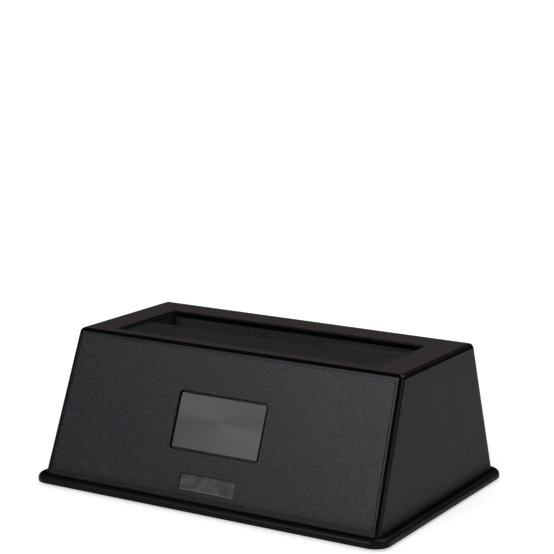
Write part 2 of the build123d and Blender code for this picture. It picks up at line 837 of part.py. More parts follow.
def least_coil_gap(marks, wire_radius):
    """The least gap between neighbouring turns, measured on the points a turn apart."""
    gaps = [(marks[i + 4][0] - marks[i][0]).length - 2 * wire_radius for i in range(len(marks) - 4)]
    return min(gaps)


def coil_tube(marks, wire_radius, start_run, end_run):
    """A wire along the marks, with a straight run of the given length at each end."""
    first, first_way = marks[0]
    last, last_way = marks[-1]
    tail = first - first_way * start_run
    with BuildPart() as tube:
        with BuildLine():
            Line(tail, first)
            for (start, start_way), (end, end_way) in zip(marks, marks[1:]):
                biarc(start, start_way, end, end_way)
            Line(last, last + last_way * end_run)
        with BuildSketch(Plane(origin=tail, z_dir=first_way)):
            Circle(wire_radius)
        sweep()
    return tube.part


def leg_x():
    """Where the flap spring's upper leg lies, out from the middle of the bay."""
    return flap_spring_x - (flap_coil_turns + 1 / 4) * flap_coil_pitch / 2


def make_flap_spring(side, name):
    """A torsion spring round the hinge pin: one leg under the flap, the other on the bay's front wall."""
    marks = coil_marks(
        centre=Vector(side * leg_x(), hinge_y, hinge_z),
        axis_way=Vector(side, 0, 0),
        up_way=Vector(0, 0, 1),
        radius=flap_coil_radius,
        pitch=flap_coil_pitch,
        start_angle=pi / 2,
        quarters=4 * flap_coil_turns + 1,
        hand=side,
    )
    print(name, "least gap to itself", round(least_coil_gap(marks, flap_wire_radius), 2))
    tube = coil_tube(marks, flap_wire_radius, flap_leg_back, flap_leg_down)
    tube.label = name
    return tube


def tongue_slot_span(contacts):
    """Length of a connector slot for that many contacts."""
    return (contacts - 1) * contact_pitch + 2 * tongue_slot_end


def make_sata_receptacle():
    """The upright drive connector: a signal slot and a power slot side by side."""
    top_z = bay_floor_z + receptacle_above_floor
    signal_span = tongue_slot_span(signal_contacts)
    power_span = tongue_slot_span(power_contacts)
    signal_start_x = key_x + key_wall / 2
    power_start_x = key_x - key_wall / 2
    right_x = signal_start_x + signal_span + receptacle_end
    left_x = power_start_x - power_span - receptacle_end
    hook_y = connector_y - tongue_slot_width / 2 + tongue_hook_width / 2
    with BuildPart() as sata_receptacle:
        with BuildSketch(Plane.XY.offset(board_top_z)):
            with Locations(((left_x + right_x) / 2, connector_y)):
                Rectangle(right_x - left_x, receptacle_depth)
        extrude(amount=top_z - board_top_z)
        chamfer(sata_receptacle.faces().sort_by(Axis.Z)[-1].edges(), receptacle_lead_in)
        with BuildSketch(Plane.XY.offset(top_z)):
            with Locations((signal_start_x + signal_span / 2, connector_y)):
                Rectangle(signal_span, tongue_slot_width)
            with Locations((power_start_x - power_span / 2, connector_y)):
                Rectangle(power_span, tongue_slot_width)
            with Locations((signal_start_x + tongue_hook_length / 2, hook_y)):
                Rectangle(tongue_hook_length, tongue_hook_width)
            with Locations((power_start_x - power_span + tongue_hook_length / 2, hook_y)):
                Rectangle(tongue_hook_length, tongue_hook_width)
        extrude(amount=-tongue_slot_depth, mode=Mode.SUBTRACT)
    sata_receptacle.part.label = "sata_receptacle"
    return sata_receptacle.part


def make_sata_contacts():
    """The spring contacts, standing on the front wall of each connector slot."""
    top_z = bay_floor_z + receptacle_above_floor
    contact_y = connector_y - tongue_slot_width / 2 + contact_thickness / 2
    signal_first_x = key_x + key_wall / 2 + tongue_slot_end
    power_first_x = key_x - key_wall / 2 - tongue_slot_end
    places = [(signal_first_x + i * contact_pitch, contact_y) for i in range(signal_contacts)]
    places += [(power_first_x - i * contact_pitch, contact_y) for i in range(power_contacts)]
    with BuildPart() as sata_contacts:
        with BuildSketch(Plane.XY.offset(top_z - tongue_slot_depth)):
            with Locations(*places):
                Rectangle(contact_width, contact_thickness)
        extrude(amount=contact_height)
    sata_contacts.part.label = "sata_contacts"
    return sata_contacts.part


def make_main_circuit_board():
    """The board on the base's posts, with its four screw holes and a notch under the button."""
    notch_width = 2 * (cap_radius + cap_flange + cap_hole_gap)
    notch_front_y = cap_back_y - button_travel - cap_hole_gap
    with BuildPart() as main_circuit_board:
        with BuildSketch(Plane.XY.offset(board_bottom_z)):
            with Locations((0, board_middle_y)):
                RectangleRounded(2 * board_half, 2 * board_half_depth, board_corner)
            with Locations(*board_hole_spots):
                Circle(board_shank_radius + screw_hole_clearance, mode=Mode.SUBTRACT)
            with Locations((button_x, (board_back_y + notch_front_y) / 2)):
                Rectangle(notch_width, board_back_y - notch_front_y, mode=Mode.SUBTRACT)
        extrude(amount=board_thickness)
    main_circuit_board.part.label = "main_circuit_board"
    return main_circuit_board.part


def make_usb_port_shell():
    """The folded steel shell of the data port, open at its mouth."""
    with BuildPart() as usb_port_shell:
        with BuildSketch(Plane.XZ.offset(-usb_face_y)):
            with Locations((usb_x, usb_middle_z)):
                Rectangle(usb_width, usb_height)
        extrude(amount=usb_depth)
        with BuildSketch(Plane.XZ.offset(-usb_face_y)):
            with Locations((usb_x, usb_middle_z)):
                Rectangle(usb_width - 2 * usb_shell, usb_height - 2 * usb_shell)
        extrude(amount=usb_depth - usb_shell, mode=Mode.SUBTRACT)
    usb_port_shell.part.label = "usb_port_shell"
    return usb_port_shell.part


# Data port insert: levels of the two tiers of its cavity and of the tongues in them
usb_lower_z = board_top_z + usb_cavity_lift + usb_lower_height / 2
usb_step_z = board_top_z + usb_cavity_lift + usb_lower_height
usb_upper_z = usb_step_z + usb_upper_height / 2
usb_cavity_back_y = usb_face_y - usb_cavity_depth


def make_usb_port_insert():
    """The moulded insert: a cavity of two tiers, with a tongue in each."""
    with BuildPart() as usb_port_insert:
        with BuildSketch(Plane.XZ.offset(-usb_face_y + usb_shell)):
            with Locations((usb_x, usb_middle_z)):
                Rectangle(usb_width - 2 * usb_shell, usb_height - 2 * usb_shell)
        extrude(amount=usb_depth - 2 * usb_shell)
        with BuildSketch(Plane.XZ.offset(-usb_face_y + usb_shell)):
            with Locations((usb_x, usb_lower_z)):
                Rectangle(usb_lower_width, usb_lower_height)
            with Locations((usb_x, usb_upper_z)):
                Rectangle(usb_upper_width, usb_upper_height)
        extrude(amount=usb_cavity_depth - usb_shell, mode=Mode.SUBTRACT)
        with BuildSketch(Plane.XZ.offset(-usb_cavity_back_y)):
            with Locations((usb_x, usb_lower_z)):
                Rectangle(usb_tongue_width, usb_tongue_height)
            with Locations((usb_x, usb_upper_z)):
                Rectangle(usb_tongue_width, usb_upper_tongue_height)
        extrude(amount=-usb_cavity_depth + usb_tongue_recess)
    usb_port_insert.part.label = "usb_port_insert"
    return usb_port_insert.part


def make_usb_port_contacts():
    """The contact strips above and below the lower tongue, and under the upper one."""
    half = usb_contact_thickness / 2
    tongue_top_z = usb_lower_z + usb_tongue_height / 2
    tongue_foot_z = usb_lower_z - usb_tongue_height / 2
    upper_foot_z = usb_upper_z - usb_upper_tongue_height / 2
    with BuildPart() as usb_port_contacts:
        with BuildSketch(Plane.XZ.offset(-usb_cavity_back_y)):
            for z in (tongue_top_z + half, tongue_foot_z - half):
                with Locations((usb_x, z)):
                    with GridLocations(usb_lower_pitch, 0, usb_lower_contacts, 1):
                        Rectangle(usb_contact_width, usb_contact_thickness)
            with Locations((usb_x, upper_foot_z - half)):
                with GridLocations(usb_upper_pitch, 0, usb_upper_contacts, 1):
                    Rectangle(usb_upper_contact_width, usb_contact_thickness)
        extrude(amount=-usb_contact_length)
    usb_port_contacts.part.label = "usb_port_contacts"
    return usb_port_contacts.part


def make_dc_jack_body():
    """The power inlet's moulded body, with the bore that takes the plug."""
    with BuildPart() as dc_jack_body:
        with BuildSketch(Plane.XZ.offset(-port_wall_y)):
            with Locations((jack_x, board_top_z + jack_height / 2)):
                Rectangle(jack_width, jack_height)
        extrude(amount=jack_depth)
        with BuildSketch(Plane.XZ.offset(-port_wall_y)):
            with Locations((jack_x, jack_axis_z)):
                Circle(jack_bore_radius)
        extrude(amount=jack_bore_depth, mode=Mode.SUBTRACT)
        with BuildSketch(Plane.XZ.offset(-port_wall_y)):
            with Locations((jack_x, jack_axis_z)):
                Circle(jack_pin_radius + pin_fit_clearance)
        extrude(amount=jack_bore_depth + jack_pin_root, mode=Mode.SUBTRACT)
    dc_jack_body.part.label = "dc_jack_body"
    return dc_jack_body.part


def make_dc_jack_pin():
    """The inlet's centre pin, rooted in the body."""
    with BuildPart() as dc_jack_pin:
        with BuildSketch(Plane.XZ.offset(-port_wall_y + jack_pin_recess)):
            with Locations((jack_x, jack_axis_z)):
                Circle(jack_pin_radius)
        extrude(amount=jack_bore_depth + jack_pin_root - jack_pin_recess)
        tip = dc_jack_pin.faces().sort_by(Axis.Y)[-1]
        fillet(tip.edges(), jack_pin_radius / 2)
    dc_jack_pin.part.label = "dc_jack_pin"
    return dc_jack_pin.part


def make_switch_body():
    """The push switch on the board, with the well that its plunger slides in."""
    with BuildPart() as switch_body:
        with BuildSketch(Plane.XZ.offset(-switch_face_y)):
            with Locations((button_x, switch_axis_z)):
                Rectangle(switch_size, switch_size)
        extrude(amount=switch_depth)
        with BuildSketch(Plane.XZ.offset(-switch_face_y)):
            with Locations((button_x, switch_axis_z)):
                Rectangle(plunger_size + 2 * plunger_fit, plunger_size + 2 * plunger_fit)
        extrude(amount=switch_well_depth + button_travel, mode=Mode.SUBTRACT)
    switch_body.part.label = "switch_body"
    return switch_body.part


def make_switch_plunger():
    """The square plunger between the switch and the button."""
    with BuildPart() as switch_plunger:
        with BuildSketch(Plane.XZ.offset(-switch_face_y + plunger_well)):
            with Locations((button_x, switch_axis_z)):
                Rectangle(plunger_size, plunger_size)
        extrude(amount=-(cap_back_y + cap_socket - switch_face_y + plunger_well))
    switch_plunger.part.label = "switch_plunger"
    return switch_plunger.part


def make_power_button():
    """The round button: a domed cap with a sunk power mark, and a flange behind the wall."""
    with BuildPart() as power_button:
        with BuildSketch(Plane.XZ.offset(-cap_back_y)):
            with Locations((button_x, switch_axis_z)):
                Circle(cap_radius + cap_flange)
        extrude(amount=-cap_flange_thickness)
        with BuildSketch(Plane.XZ.offset(-cap_shoulder_y)):
            with Locations((button_x, switch_axis_z)):
                Circle(cap_radius)
        extrude(amount=-(cap_face_y - cap_shoulder_y))
        fillet(power_button.faces().sort_by(Axis.Y)[-1].edges(), cap_round)
        with BuildSketch(Plane.XZ.offset(-cap_back_y)):
            with Locations((button_x, switch_axis_z)):
                Rectangle(plunger_size, plunger_size)
        extrude(amount=-cap_socket, mode=Mode.SUBTRACT)
        bar_low = symbol_radius * symbol_bar_low_share
        bar_high = symbol_radius * symbol_bar_high_share
        with BuildSketch(Plane.XZ.offset(-cap_face_y)):
            with Locations((button_x, switch_axis_z)):
                Circle(symbol_radius)
                Circle(symbol_radius - symbol_line, mode=Mode.SUBTRACT)
            with Locations((button_x, switch_axis_z + symbol_radius)):
                Rectangle(symbol_gap, symbol_radius, mode=Mode.SUBTRACT)
            with Locations((button_x, switch_axis_z + (bar_low + bar_high) / 2)):
                Rectangle(symbol_line, bar_high - bar_low)
        extrude(amount=symbol_depth, mode=Mode.SUBTRACT)
    power_button.part.label = "power_button"
    return power_button.part


def make_switch_spring():
    """The return spring round the plunger, between the switch and the button's flange."""
    start_y = switch_face_y + switch_seat_gap + switch_wire_radius
    end_y = cap_back_y - switch_seat_gap - switch_wire_radius
    pitch = (end_y - start_y) / switch_coil_turns
    marks = coil_marks(
        centre=Vector(button_x, start_y, switch_axis_z),
        axis_way=Vector(0, 1, 0),
        up_way=Vector(0, 0, 1),
        radius=switch_coil_radius,
        pitch=pitch,
        start_angle=0,
        quarters=4 * switch_coil_turns,
        hand=1,
    )
    print("switch_spring least gap to itself", round(least_coil_gap(marks, switch_wire_radius), 2))
    tube = coil_tube(marks, switch_wire_radius, 2 * switch_wire_radius, 2 * switch_wire_radius)
    tube.label = "switch_spring"
    return tube


def make_bridge_controller():
    """The main chip, standing on its leads."""
    with BuildPart() as bridge_controller:
        with BuildSketch(Plane.XY.offset(board_top_z + controller_standoff)):
            with Locations(on_board(controller_place_shares)):
                Rectangle(controller_size, controller_size)
        extrude(amount=controller_height)
    bridge_controller.part.label = "bridge_controller"
    return bridge_controller.part


def make_controller_leads():
    """The rows of leads on the four sides of the main chip."""
    x, y = on_board(controller_place_shares)
    out = controller_size / 2 + lead_reach / 2
    with BuildPart() as controller_leads:
        with BuildSketch(Plane.XY.offset(board_top_z)):
            for side in (-1, 1):
                with Locations((x, y + side * out)):
                    with GridLocations(lead_pitch, 0, leads_per_side, 1):
                        Rectangle(lead_width, lead_reach)
                with Locations((x + side * out, y)):
                    with GridLocations(0, lead_pitch, 1, leads_per_side):
                        Rectangle(lead_reach, lead_width)
        extrude(amount=controller_standoff + lead_thickness)
    controller_leads.part.label = "controller_leads"
    return controller_leads.part


def make_small_chips():
    """Memory and switching chips, flat on the board."""
    with BuildPart() as small_chips:
        with BuildSketch(Plane.XY.offset(board_top_z)):
            with Locations(*[on_board(place) for place in small_chip_place_shares]):
                Rectangle(small_chip_length, small_chip_width)
        extrude(amount=small_chip_height)
    small_chips.part.label = "small_chips"
    return small_chips.part


def make_small_chip_leads():
    """The leads along both long sides of each small chip."""
    with BuildPart() as small_chip_leads:
        with BuildSketch(Plane.XY.offset(board_top_z)):
            for place in small_chip_place_shares:
                x, y = on_board(place)
                for side in (-1, 1):
                    with Locations((x, y + side * (small_chip_width + small_lead_reach) / 2)):
                        with GridLocations(small_lead_pitch, 0, small_lead_count, 1):
                            Rectangle(small_lead_width, small_lead_reach)
        extrude(amount=lead_thickness)
    small_chip_leads.part.label = "small_chip_leads"
    return small_chip_leads.part


def make_crystal():
    """The clock crystal's steel can, on its brim."""
    with BuildPart() as crystal:
        with BuildSketch(Plane.XY.offset(board_top_z)):
            with Locations(on_board(crystal_place_shares)):
                SlotOverall(crystal_length, crystal_width)
        extrude(amount=crystal_brim)
        with BuildSketch(Plane.XY.offset(board_top_z + crystal_brim)):
            with Locations(on_board(crystal_place_shares)):
                SlotOverall(crystal_length - 2 * crystal_brim, crystal_width - 2 * crystal_brim)
        extrude(amount=crystal_height - crystal_brim)
        fillet(crystal.faces().sort_by(Axis.Z)[-1].edges(), crystal_brim)
    crystal.part.label = "crystal"
    return crystal.part


def make_capacitor_bases():
    """The square plastic bases under the can capacitors."""
    with BuildPart() as capacitor_bases:
        with BuildSketch(Plane.XY.offset(board_top_z)):
            with Locations(*[on_board(place) for place in capacitor_place_shares]):
                Rectangle(capacitor_base_side, capacitor_base_side)
        extrude(amount=capacitor_base_height)
    capacitor_bases.part.label = "capacitor_bases"
    return capacitor_bases.part


def make_capacitor_cans():
    """The aluminium cans of the capacitors."""
    with BuildPart() as capacitor_cans:
        with BuildSketch(Plane.XY.offset(board_top_z + capacitor_base_height)):
            with Locations(*[on_board(place) for place in capacitor_place_shares]):
                Circle(capacitor_radius)
        extrude(amount=capacitor_height - capacitor_base_height)
        fillet(capacitor_cans.edges().group_by(Axis.Z)[-1], capacitor_round)
    capacitor_cans.part.label = "capacitor_cans"
    return capacitor_cans.part


def make_power_inductors():
    """The shielded coils of the two step-down supplies."""
    with BuildPart() as power_inductors:
        with BuildSketch(Plane.XY.offset(board_top_z)):
            with Locations(*[on_board(place) for place in inductor_place_shares]):
                RectangleRounded(inductor_side, inductor_side, inductor_corner)
        extrude(amount=inductor_height)
    power_inductors.part.label = "power_inductors"
    return power_inductors.part


def make_voltage_regulators():
    """The power transistors, flat on the board."""
    with BuildPart() as voltage_regulators:
        with BuildSketch(Plane.XY.offset(board_top_z)):
            with Locations(*[on_board(place) for place in regulator_place_shares]):
                Rectangle(regulator_width, regulator_length)
        extrude(amount=regulator_height)
    voltage_regulators.part.label = "voltage_regulators"
    return voltage_regulators.part


def make_chip_resistors():
    """Rows of small resistors and capacitors."""
    with BuildPart() as chip_resistors:
        with BuildSketch(Plane.XY.offset(board_top_z)):
            for row in passive_row_shares:
                with Locations(on_board(row)):
                    with GridLocations(passive_pitch, 0, passives_per_row, 1):
                        Rectangle(passive_width, passive_length)
        extrude(amount=passive_height)
    chip_resistors.part.label = "chip_resistors"
    return chip_resistors.part


def make_status_lights():
    """The two indicator lights, lying over the board's front edge and facing the window."""
    with BuildPart() as status_lights:
        with BuildSketch(Plane.XY.offset(board_top_z)):
            with Locations((0, led_front_y + led_length / 2)):
                with GridLocations(led_spacing, 0, 2, 1):
                    Rectangle(led_width, led_length)
        extrude(amount=led_height)
        faces_front = status_lights.edges().group_by(Axis.Y)[0].filter_by(Axis.Z)
        fillet(faces_front, led_round)
    status_lights.part.label = "status_lights"
    return status_lights.part


def make_light_leads():
    """The leads of the indicator lights, flat on the board behind them."""
    rear = led_front_y + led_length
    with BuildPart() as light_leads:
        with BuildSketch(Plane.XY.offset(board_top_z)):
            for side in (-1, 1):
                with Locations((side * led_spacing / 2, rear + led_lead_run / 2)):
                    with GridLocations(led_lead_spacing, 0, 2, 1):
                        Rectangle(led_lead_size, led_lead_run)
        extrude(amount=led_lead_size)
    light_leads.part.label = "light_leads"
    return light_leads.part


def screw_group(name, spots, seat_z, head_way, head, shank):
    """Cross-head screws; head and shank are (radius, length), and head_way is -1 where the head is below."""
    head_radius, head_height = head
    shank_radius, reach = shank
    cross_length = head_radius * cross_length_share
    cross_width = head_radius * cross_width_share
    with BuildPart() as screws:
        with BuildSketch(Plane.XY.offset(seat_z)):
            with Locations(*spots):
                Circle(head_radius)
        extrude(amount=head_way * head_height)
        with BuildSketch(Plane.XY.offset(seat_z)):
            with Locations(*spots):
                Circle(shank_radius)
        extrude(amount=-head_way * reach)
        with BuildSketch(Plane.XY.offset(seat_z + head_way * head_height)):
            with Locations(*spots):
                Rectangle(cross_length, cross_width)
                Rectangle(cross_width, cross_length)
        extrude(amount=-head_way * head_height * cross_depth_share, mode=Mode.SUBTRACT)
    screws.part.label = name
    return screws.part


def make_cover_screws():
    """The four screws that hold the base to the case."""
    seat_z = base_bottom_z + cover_head_height + cover_head_sunk
    reach = post_foot_z - seat_z + cover_screw_reach
    head = (cover_head_radius, cover_head_height)
    return screw_group("cover_screws", cover_screw_spots, seat_z, -1, head, (cover_shank_radius, reach))


def make_board_screws():
    """The four screws that hold the board on its posts."""
    reach = board_thickness + board_screw_reach
    head = (board_head_radius, board_head_height)
    return screw_group("board_screws", board_hole_spots, board_top_z, 1, head, (board_shank_radius, reach))


def make_frame_screws():
    """The four screws that hold the bay frame up in the case."""
    reach = frame_tab_thickness + frame_screw_reach
    head = (frame_head_radius, frame_head_height)
    return screw_group("frame_screws", frame_boss_spots, frame_tab_z, -1, head, (frame_shank_radius, reach))


pieces = [
    make_upper_housing(),
    make_base_plate(),
    make_rubber_feet(),
    make_badge_plate(),
    make_indicator_window(),
    make_drive_bay_frame(),
    make_bay_flap(),
    make_flap_hinge_pin(),
    make_flap_spring(-1, "flap_spring_left"),
    make_flap_spring(1, "flap_spring_right"),
    make_sata_receptacle(),
    make_sata_contacts(),
    make_main_circuit_board(),
    make_usb_port_shell(),
    make_usb_port_insert(),
    make_usb_port_contacts(),
    make_dc_jack_body(),
    make_dc_jack_pin(),
    make_switch_body(),
    make_switch_plunger(),
    make_power_button(),
    make_switch_spring(),
    make_bridge_controller(),
    make_controller_leads(),
    make_small_chips(),
    make_small_chip_leads(),
    make_crystal(),
    make_capacitor_bases(),
    make_capacitor_cans(),
    make_power_inductors(),
    make_voltage_regulators(),
    make_chip_resistors(),
    make_status_lights(),
    make_light_leads(),
    make_cover_screws(),
    make_board_screws(),
    make_frame_screws(),
]

os.makedirs("parts", exist_ok=True)
for piece in pieces:
    export_step(piece, "parts/" + piece.label + ".step")
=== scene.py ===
from math import cos, pi, radians, sin

import bmesh
import bpy
from mathutils import Matrix, Vector


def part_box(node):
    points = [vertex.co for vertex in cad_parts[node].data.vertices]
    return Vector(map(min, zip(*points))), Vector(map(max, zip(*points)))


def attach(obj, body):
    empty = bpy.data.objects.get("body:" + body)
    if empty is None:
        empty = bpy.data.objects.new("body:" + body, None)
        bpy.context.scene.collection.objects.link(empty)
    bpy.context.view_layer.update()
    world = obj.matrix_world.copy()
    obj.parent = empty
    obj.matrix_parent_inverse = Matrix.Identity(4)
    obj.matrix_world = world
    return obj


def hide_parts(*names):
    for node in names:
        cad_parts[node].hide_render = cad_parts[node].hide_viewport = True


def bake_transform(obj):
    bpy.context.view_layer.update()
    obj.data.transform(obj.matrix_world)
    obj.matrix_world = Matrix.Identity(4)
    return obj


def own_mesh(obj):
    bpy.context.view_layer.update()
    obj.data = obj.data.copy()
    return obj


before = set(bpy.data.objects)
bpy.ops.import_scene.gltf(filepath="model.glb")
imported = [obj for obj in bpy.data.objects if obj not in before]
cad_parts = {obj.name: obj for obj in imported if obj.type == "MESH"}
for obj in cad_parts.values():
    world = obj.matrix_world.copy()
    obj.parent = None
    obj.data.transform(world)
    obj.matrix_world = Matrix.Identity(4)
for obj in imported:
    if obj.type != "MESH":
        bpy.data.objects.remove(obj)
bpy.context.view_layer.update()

bl_info = {
    "name": "Drive Dock Looks",
    "version": (1, 0, 0),
    "blender": (4, 5, 0),
    "location": "3D View > Sidebar > Drive Dock",
    "description": "Finishes, springs, stage and camera for a desktop drive docking station",
    "category": "Object",
}

MM = 0.001

# The case's faces
CASE_LOW, CASE_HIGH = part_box("upper_housing")
BASE_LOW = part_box("base_plate")[0]
FLANGE_THICKNESS = 3.0 * MM
FLANGE_TOP = BASE_LOW.z + FLANGE_THICKNESS
SIDE_LEAN = radians(1.94)
FRONT_LEAN = radians(20.68)
BACK_LEAN = radians(18.86)
FRONT_NORMAL = (0.0, -cos(FRONT_LEAN), sin(FRONT_LEAN))
BACK_NORMAL = (0.0, cos(BACK_LEAN), sin(BACK_LEAN))
# The sides lean so little that a level direction serves for them
RIGHTWARD = (cos(SIDE_LEAN), 0.0, 0.0)
LEFTWARD = (-cos(SIDE_LEAN), 0.0, 0.0)
UPWARD = (0.0, 0.0, 1.0)
# How far the front's plane is from the origin along its normal
FRONT_REACH = FLANGE_TOP * sin(FRONT_LEAN) - CASE_LOW.y * cos(FRONT_LEAN)
# How far below that plane the painted shade in recesses, such as the groove round the front field, is full,
# and where it begins
RECESS_SHADE_DEPTHS = (0.4 * MM, 0.3 * MM)
# How far the groove round the front field is from the front's sides and from its top
FIELD_MARGIN = 2.42 * MM
FIELD_TOP_DROP = 1.69 * MM

# Where a finish begins and is full, as the cosine between a face's normal and the direction it is for
# Flat faces, against the edges, which are painted dark as a painted dark reflection
FLAT_FACE = (0.98, 0.998)
FRONT_FACE = (0.975, 0.99)
# The top face, which takes a lighter colour as a painted reflection
TOP_FACE = (0.9, 0.99)
# Edges turning up into the top, onto which the rim colour paints the top's reflection
TURNING_UP = (0.4, 0.95)
TURNING_ASIDE = (0.12, 0.3)
# Faces that look up, which are made smoother and painted darker as a painted dark reflection
POLISHED_SHADED_TOP = (0.85, 0.98)
# Where the window's bevel faces down, which takes a painted highlight
BEVEL_BELOW = (-0.3, -0.1)

# The darkest and brightest shade of each mottled colour, as factors of it
RIB_SHADES = (0.34, 1.66)
SIDE_SHADES = (0.86, 1.14)
PLASTIC_SHADES = (0.88, 1.12)
METAL_SHADES = (0.9, 1.1)
BADGE_SHADES = (0.78, 1.2)
# The window's mottle is partly cloudy smoke and partly painted reflection patches
WINDOW_SHADES = (0.72, 1.3)
FLOOR_SHADES = (0.99, 1.01)
# The slow change of hue over the front, as factors of red, green and blue
WARM_CAST = (1.05, 1.0, 0.93)
COOL_CAST = (0.95, 1.0, 1.07)
# How much darker the case is painted at its foot, a painted shade where the flange shades it, and how much
# rougher it is there
FOOT_SHADE = 0.55
FOOT_ROUGHNESS = 0.12
# How deep the grain is off the front, as a share of the front's
SIDE_GRAIN = 0.35
# How much handling takes from the roughness or adds to it
CASE_WEAR = 0.012
PLASTIC_WEAR = 0.05
# How strongly dust shows, and how many times paler than the surface it is
CASE_DUST = (0.25, 2.2)
PLASTIC_DUST = (0.35, 2.5)
# The painted highlight on the window's bevel
BEVEL_HIGHLIGHT_COLOUR = (0.3, 0.3, 0.3)

# Where a noise turns from its dark tone to its light one
SPECKLE_TONES = (0.35, 0.65)
RIB_TONES = (0.38, 0.62)
SMUDGE_TONES = (0.35, 0.7)
CLOUD_TONES = (0.3, 0.7)

# The moulded grain: its pits, over a noise of this share of their fineness
PIT_SMOOTHNESS = 0.6
PIT_HEIGHT = 0.6
SOFT_FINENESS = 0.45
# The streaked grain: creases between its ridges, and finer noise over both
CREASE_SCALE = 0.8
CREASE_WIDTH = 0.22
CREASE_HEIGHT = 0.35
FINE_SCALE = 3.2
FINE_HEIGHT = 0.25
# Dust specks: cells to a metre, the edge of a speck, and the random values from which a cell has one
SPECK_CELLS = 700.0
SPECK_EDGE = (0.02, 0.1)
SPECK_CHANCE = (0.93, 0.97)
# How often a brushed line changes along its length, to a metre
LINE_CHANGES = 90.0
# A circuit board's tracks and holes, in cells to a metre
TRACK_CELLS = 190.0
TRACK_PITCH = 0.11
TRACK_EDGE = (0.045, 0.06)
HOLE_CELLS = 260.0
HOLE_EDGE = (0.1, 0.13)
MASK_GREEN = (0.008, 0.06, 0.025)
TRACK_GREEN = (0.014, 0.115, 0.045)
SMUDGED_GREEN = (0.01, 0.08, 0.035)
TIN = (0.55, 0.55, 0.52)

# The Mix node's places for numbers and for colours
MIX_NUMBERS = (2, 3)
MIX_COLOURS = (6, 7)
MIX_NUMBER_OUT = 0
MIX_COLOUR_OUT = 2


# Shared node helpers


def fill(tree, node, values):
    """Gives a node's inputs, by name or place, a number, a tuple or another node's output."""
    for key, value in values.items():
        if isinstance(value, bpy.types.NodeSocket):
            tree.links.new(value, node.inputs[key])
        else:
            node.inputs[key].default_value = value


def math_node(tree, operation, *operands):
    """A Math node's output. Each operand is an output or a number."""
    made = tree.nodes.new("ShaderNodeMath")
    made.operation = operation
    fill(tree, made, dict(enumerate(operands)))
    return made.outputs[0]


def largest(tree, first, *others):
    """The largest of several outputs."""
    for other in others:
        first = math_node(tree, "MAXIMUM", first, other)
    return first


def ramp(tree, value, low, high, to_low=0.0, to_high=1.0):
    """A smooth step from to_low to to_high, as the value goes from low to high."""
    made = tree.nodes.new("ShaderNodeMapRange")
    made.interpolation_type = "SMOOTHSTEP"
    fill(tree, made, {"Value": value, "From Min": low, "From Max": high, "To Min": to_low, "To Max": to_high})
    return made.outputs["Result"]


def graded(tree, factor, first, second):
    """A smooth step between two numbers, by a factor from 0 to 1."""
    return ramp(tree, factor, 0.0, 1.0, first, second)


def split(tree, vector):
    """A vector's coordinates, by letter."""
    made = tree.nodes.new("ShaderNodeSeparateXYZ")
    fill(tree, made, {0: vector})
    return made.outputs


def joined(tree, *coordinates):
    """A vector of the coordinates. Those not given are zero."""
    made = tree.nodes.new("ShaderNodeCombineXYZ")
    fill(tree, made, dict(enumerate(coordinates)))
    return made.outputs[0]


def along(tree, vector, direction):
    """How far a vector reaches along a fixed direction."""
    made = tree.nodes.new("ShaderNodeVectorMath")
    made.operation = "DOT_PRODUCT"
    fill(tree, made, {0: vector, 1: direction})
    return made.outputs["Value"]


def blend_numbers(tree, factor, first, second):
    """A number between two, by a factor."""
    made = tree.nodes.new("ShaderNodeMix")
    fill(tree, made, {0: factor, MIX_NUMBERS[0]: first, MIX_NUMBERS[1]: second})
    return made.outputs[MIX_NUMBER_OUT]


def blend_colours(tree, factor, first, second):
    """A colour between two, by a factor. Each colour is an output or a tuple."""
    made = tree.nodes.new("ShaderNodeMix")
    made.data_type = "RGBA"
    fill(tree, made, {0: factor})
    for place, colour in zip(MIX_COLOURS, (first, second)):
        fill(tree, made, {place: (*colour, 1.0) if isinstance(colour, tuple) else colour})
    return made.outputs[MIX_COLOUR_OUT]


def darkened(tree, colour, factor):
    """A colour times a factor."""
    made = tree.nodes.new("ShaderNodeVectorMath")
    made.operation = "SCALE"
    fill(tree, made, {0: colour, "Scale": factor})
    return made.outputs[0]


def shade(colour, factor):
    """A fixed colour times a factor, kept within white."""
    return tuple(min(channel * factor, 1.0) for channel in colour)


def mottled(tree, factor, colour, shades):
    """A fixed colour that varies between two shades of itself."""
    return blend_colours(tree, factor, shade(colour, shades[0]), shade(colour, shades[1]))


def dusted(tree, body, dust, colour, strength, pale):
    """The body with specks of dust, which is a fixed colour made paler."""
    return blend_colours(tree, math_node(tree, "MULTIPLY", dust, strength), body, shade(colour, pale))


def noise(tree, vector, scale, detail=2.0, roughness=0.5, distortion=0.0):
    """Soft noise. Its scale is an output or a number."""
    made = tree.nodes.new("ShaderNodeTexNoise")
    fill(tree, made, {"Vector": vector, "Scale": scale, "Detail": detail})
    fill(tree, made, {"Roughness": roughness, "Distortion": distortion})
    return made.outputs["Fac"]


def voronoi(tree, vector, scale, feature="F1"):
    """A node of scattered spots or cells. Its scale is an output or a number."""
    made = tree.nodes.new("ShaderNodeTexVoronoi")
    made.feature = feature
    fill(tree, made, {"Vector": vector, "Scale": scale})
    return made


def new_group(name, settings, results):
    """A node group that reads a vector and some numbers, with its inputs as outputs, and its end."""
    tree = bpy.data.node_groups.new(name, "ShaderNodeTree")
    tree.interface.new_socket(name="Vector", in_out="INPUT", socket_type="NodeSocketVector")
    for label, value in settings.items():
        made = tree.interface.new_socket(name=label, in_out="INPUT", socket_type="NodeSocketFloat")
        made.default_value = value
    for label in results:
        tree.interface.new_socket(name=label, in_out="OUTPUT", socket_type="NodeSocketFloat")
    return tree, tree.nodes.new("NodeGroupInput").outputs, tree.nodes.new("NodeGroupOutput")


def use_group(tree, key, vector, **values):
    """A shared effect's outputs, from the vector and its other inputs by name."""
    made = tree.nodes.new("ShaderNodeGroup")
    made.node_tree = groups[key]
    fill(tree, made, {"Vector": vector, **values})
    return made.outputs


# Effects that several finishes share


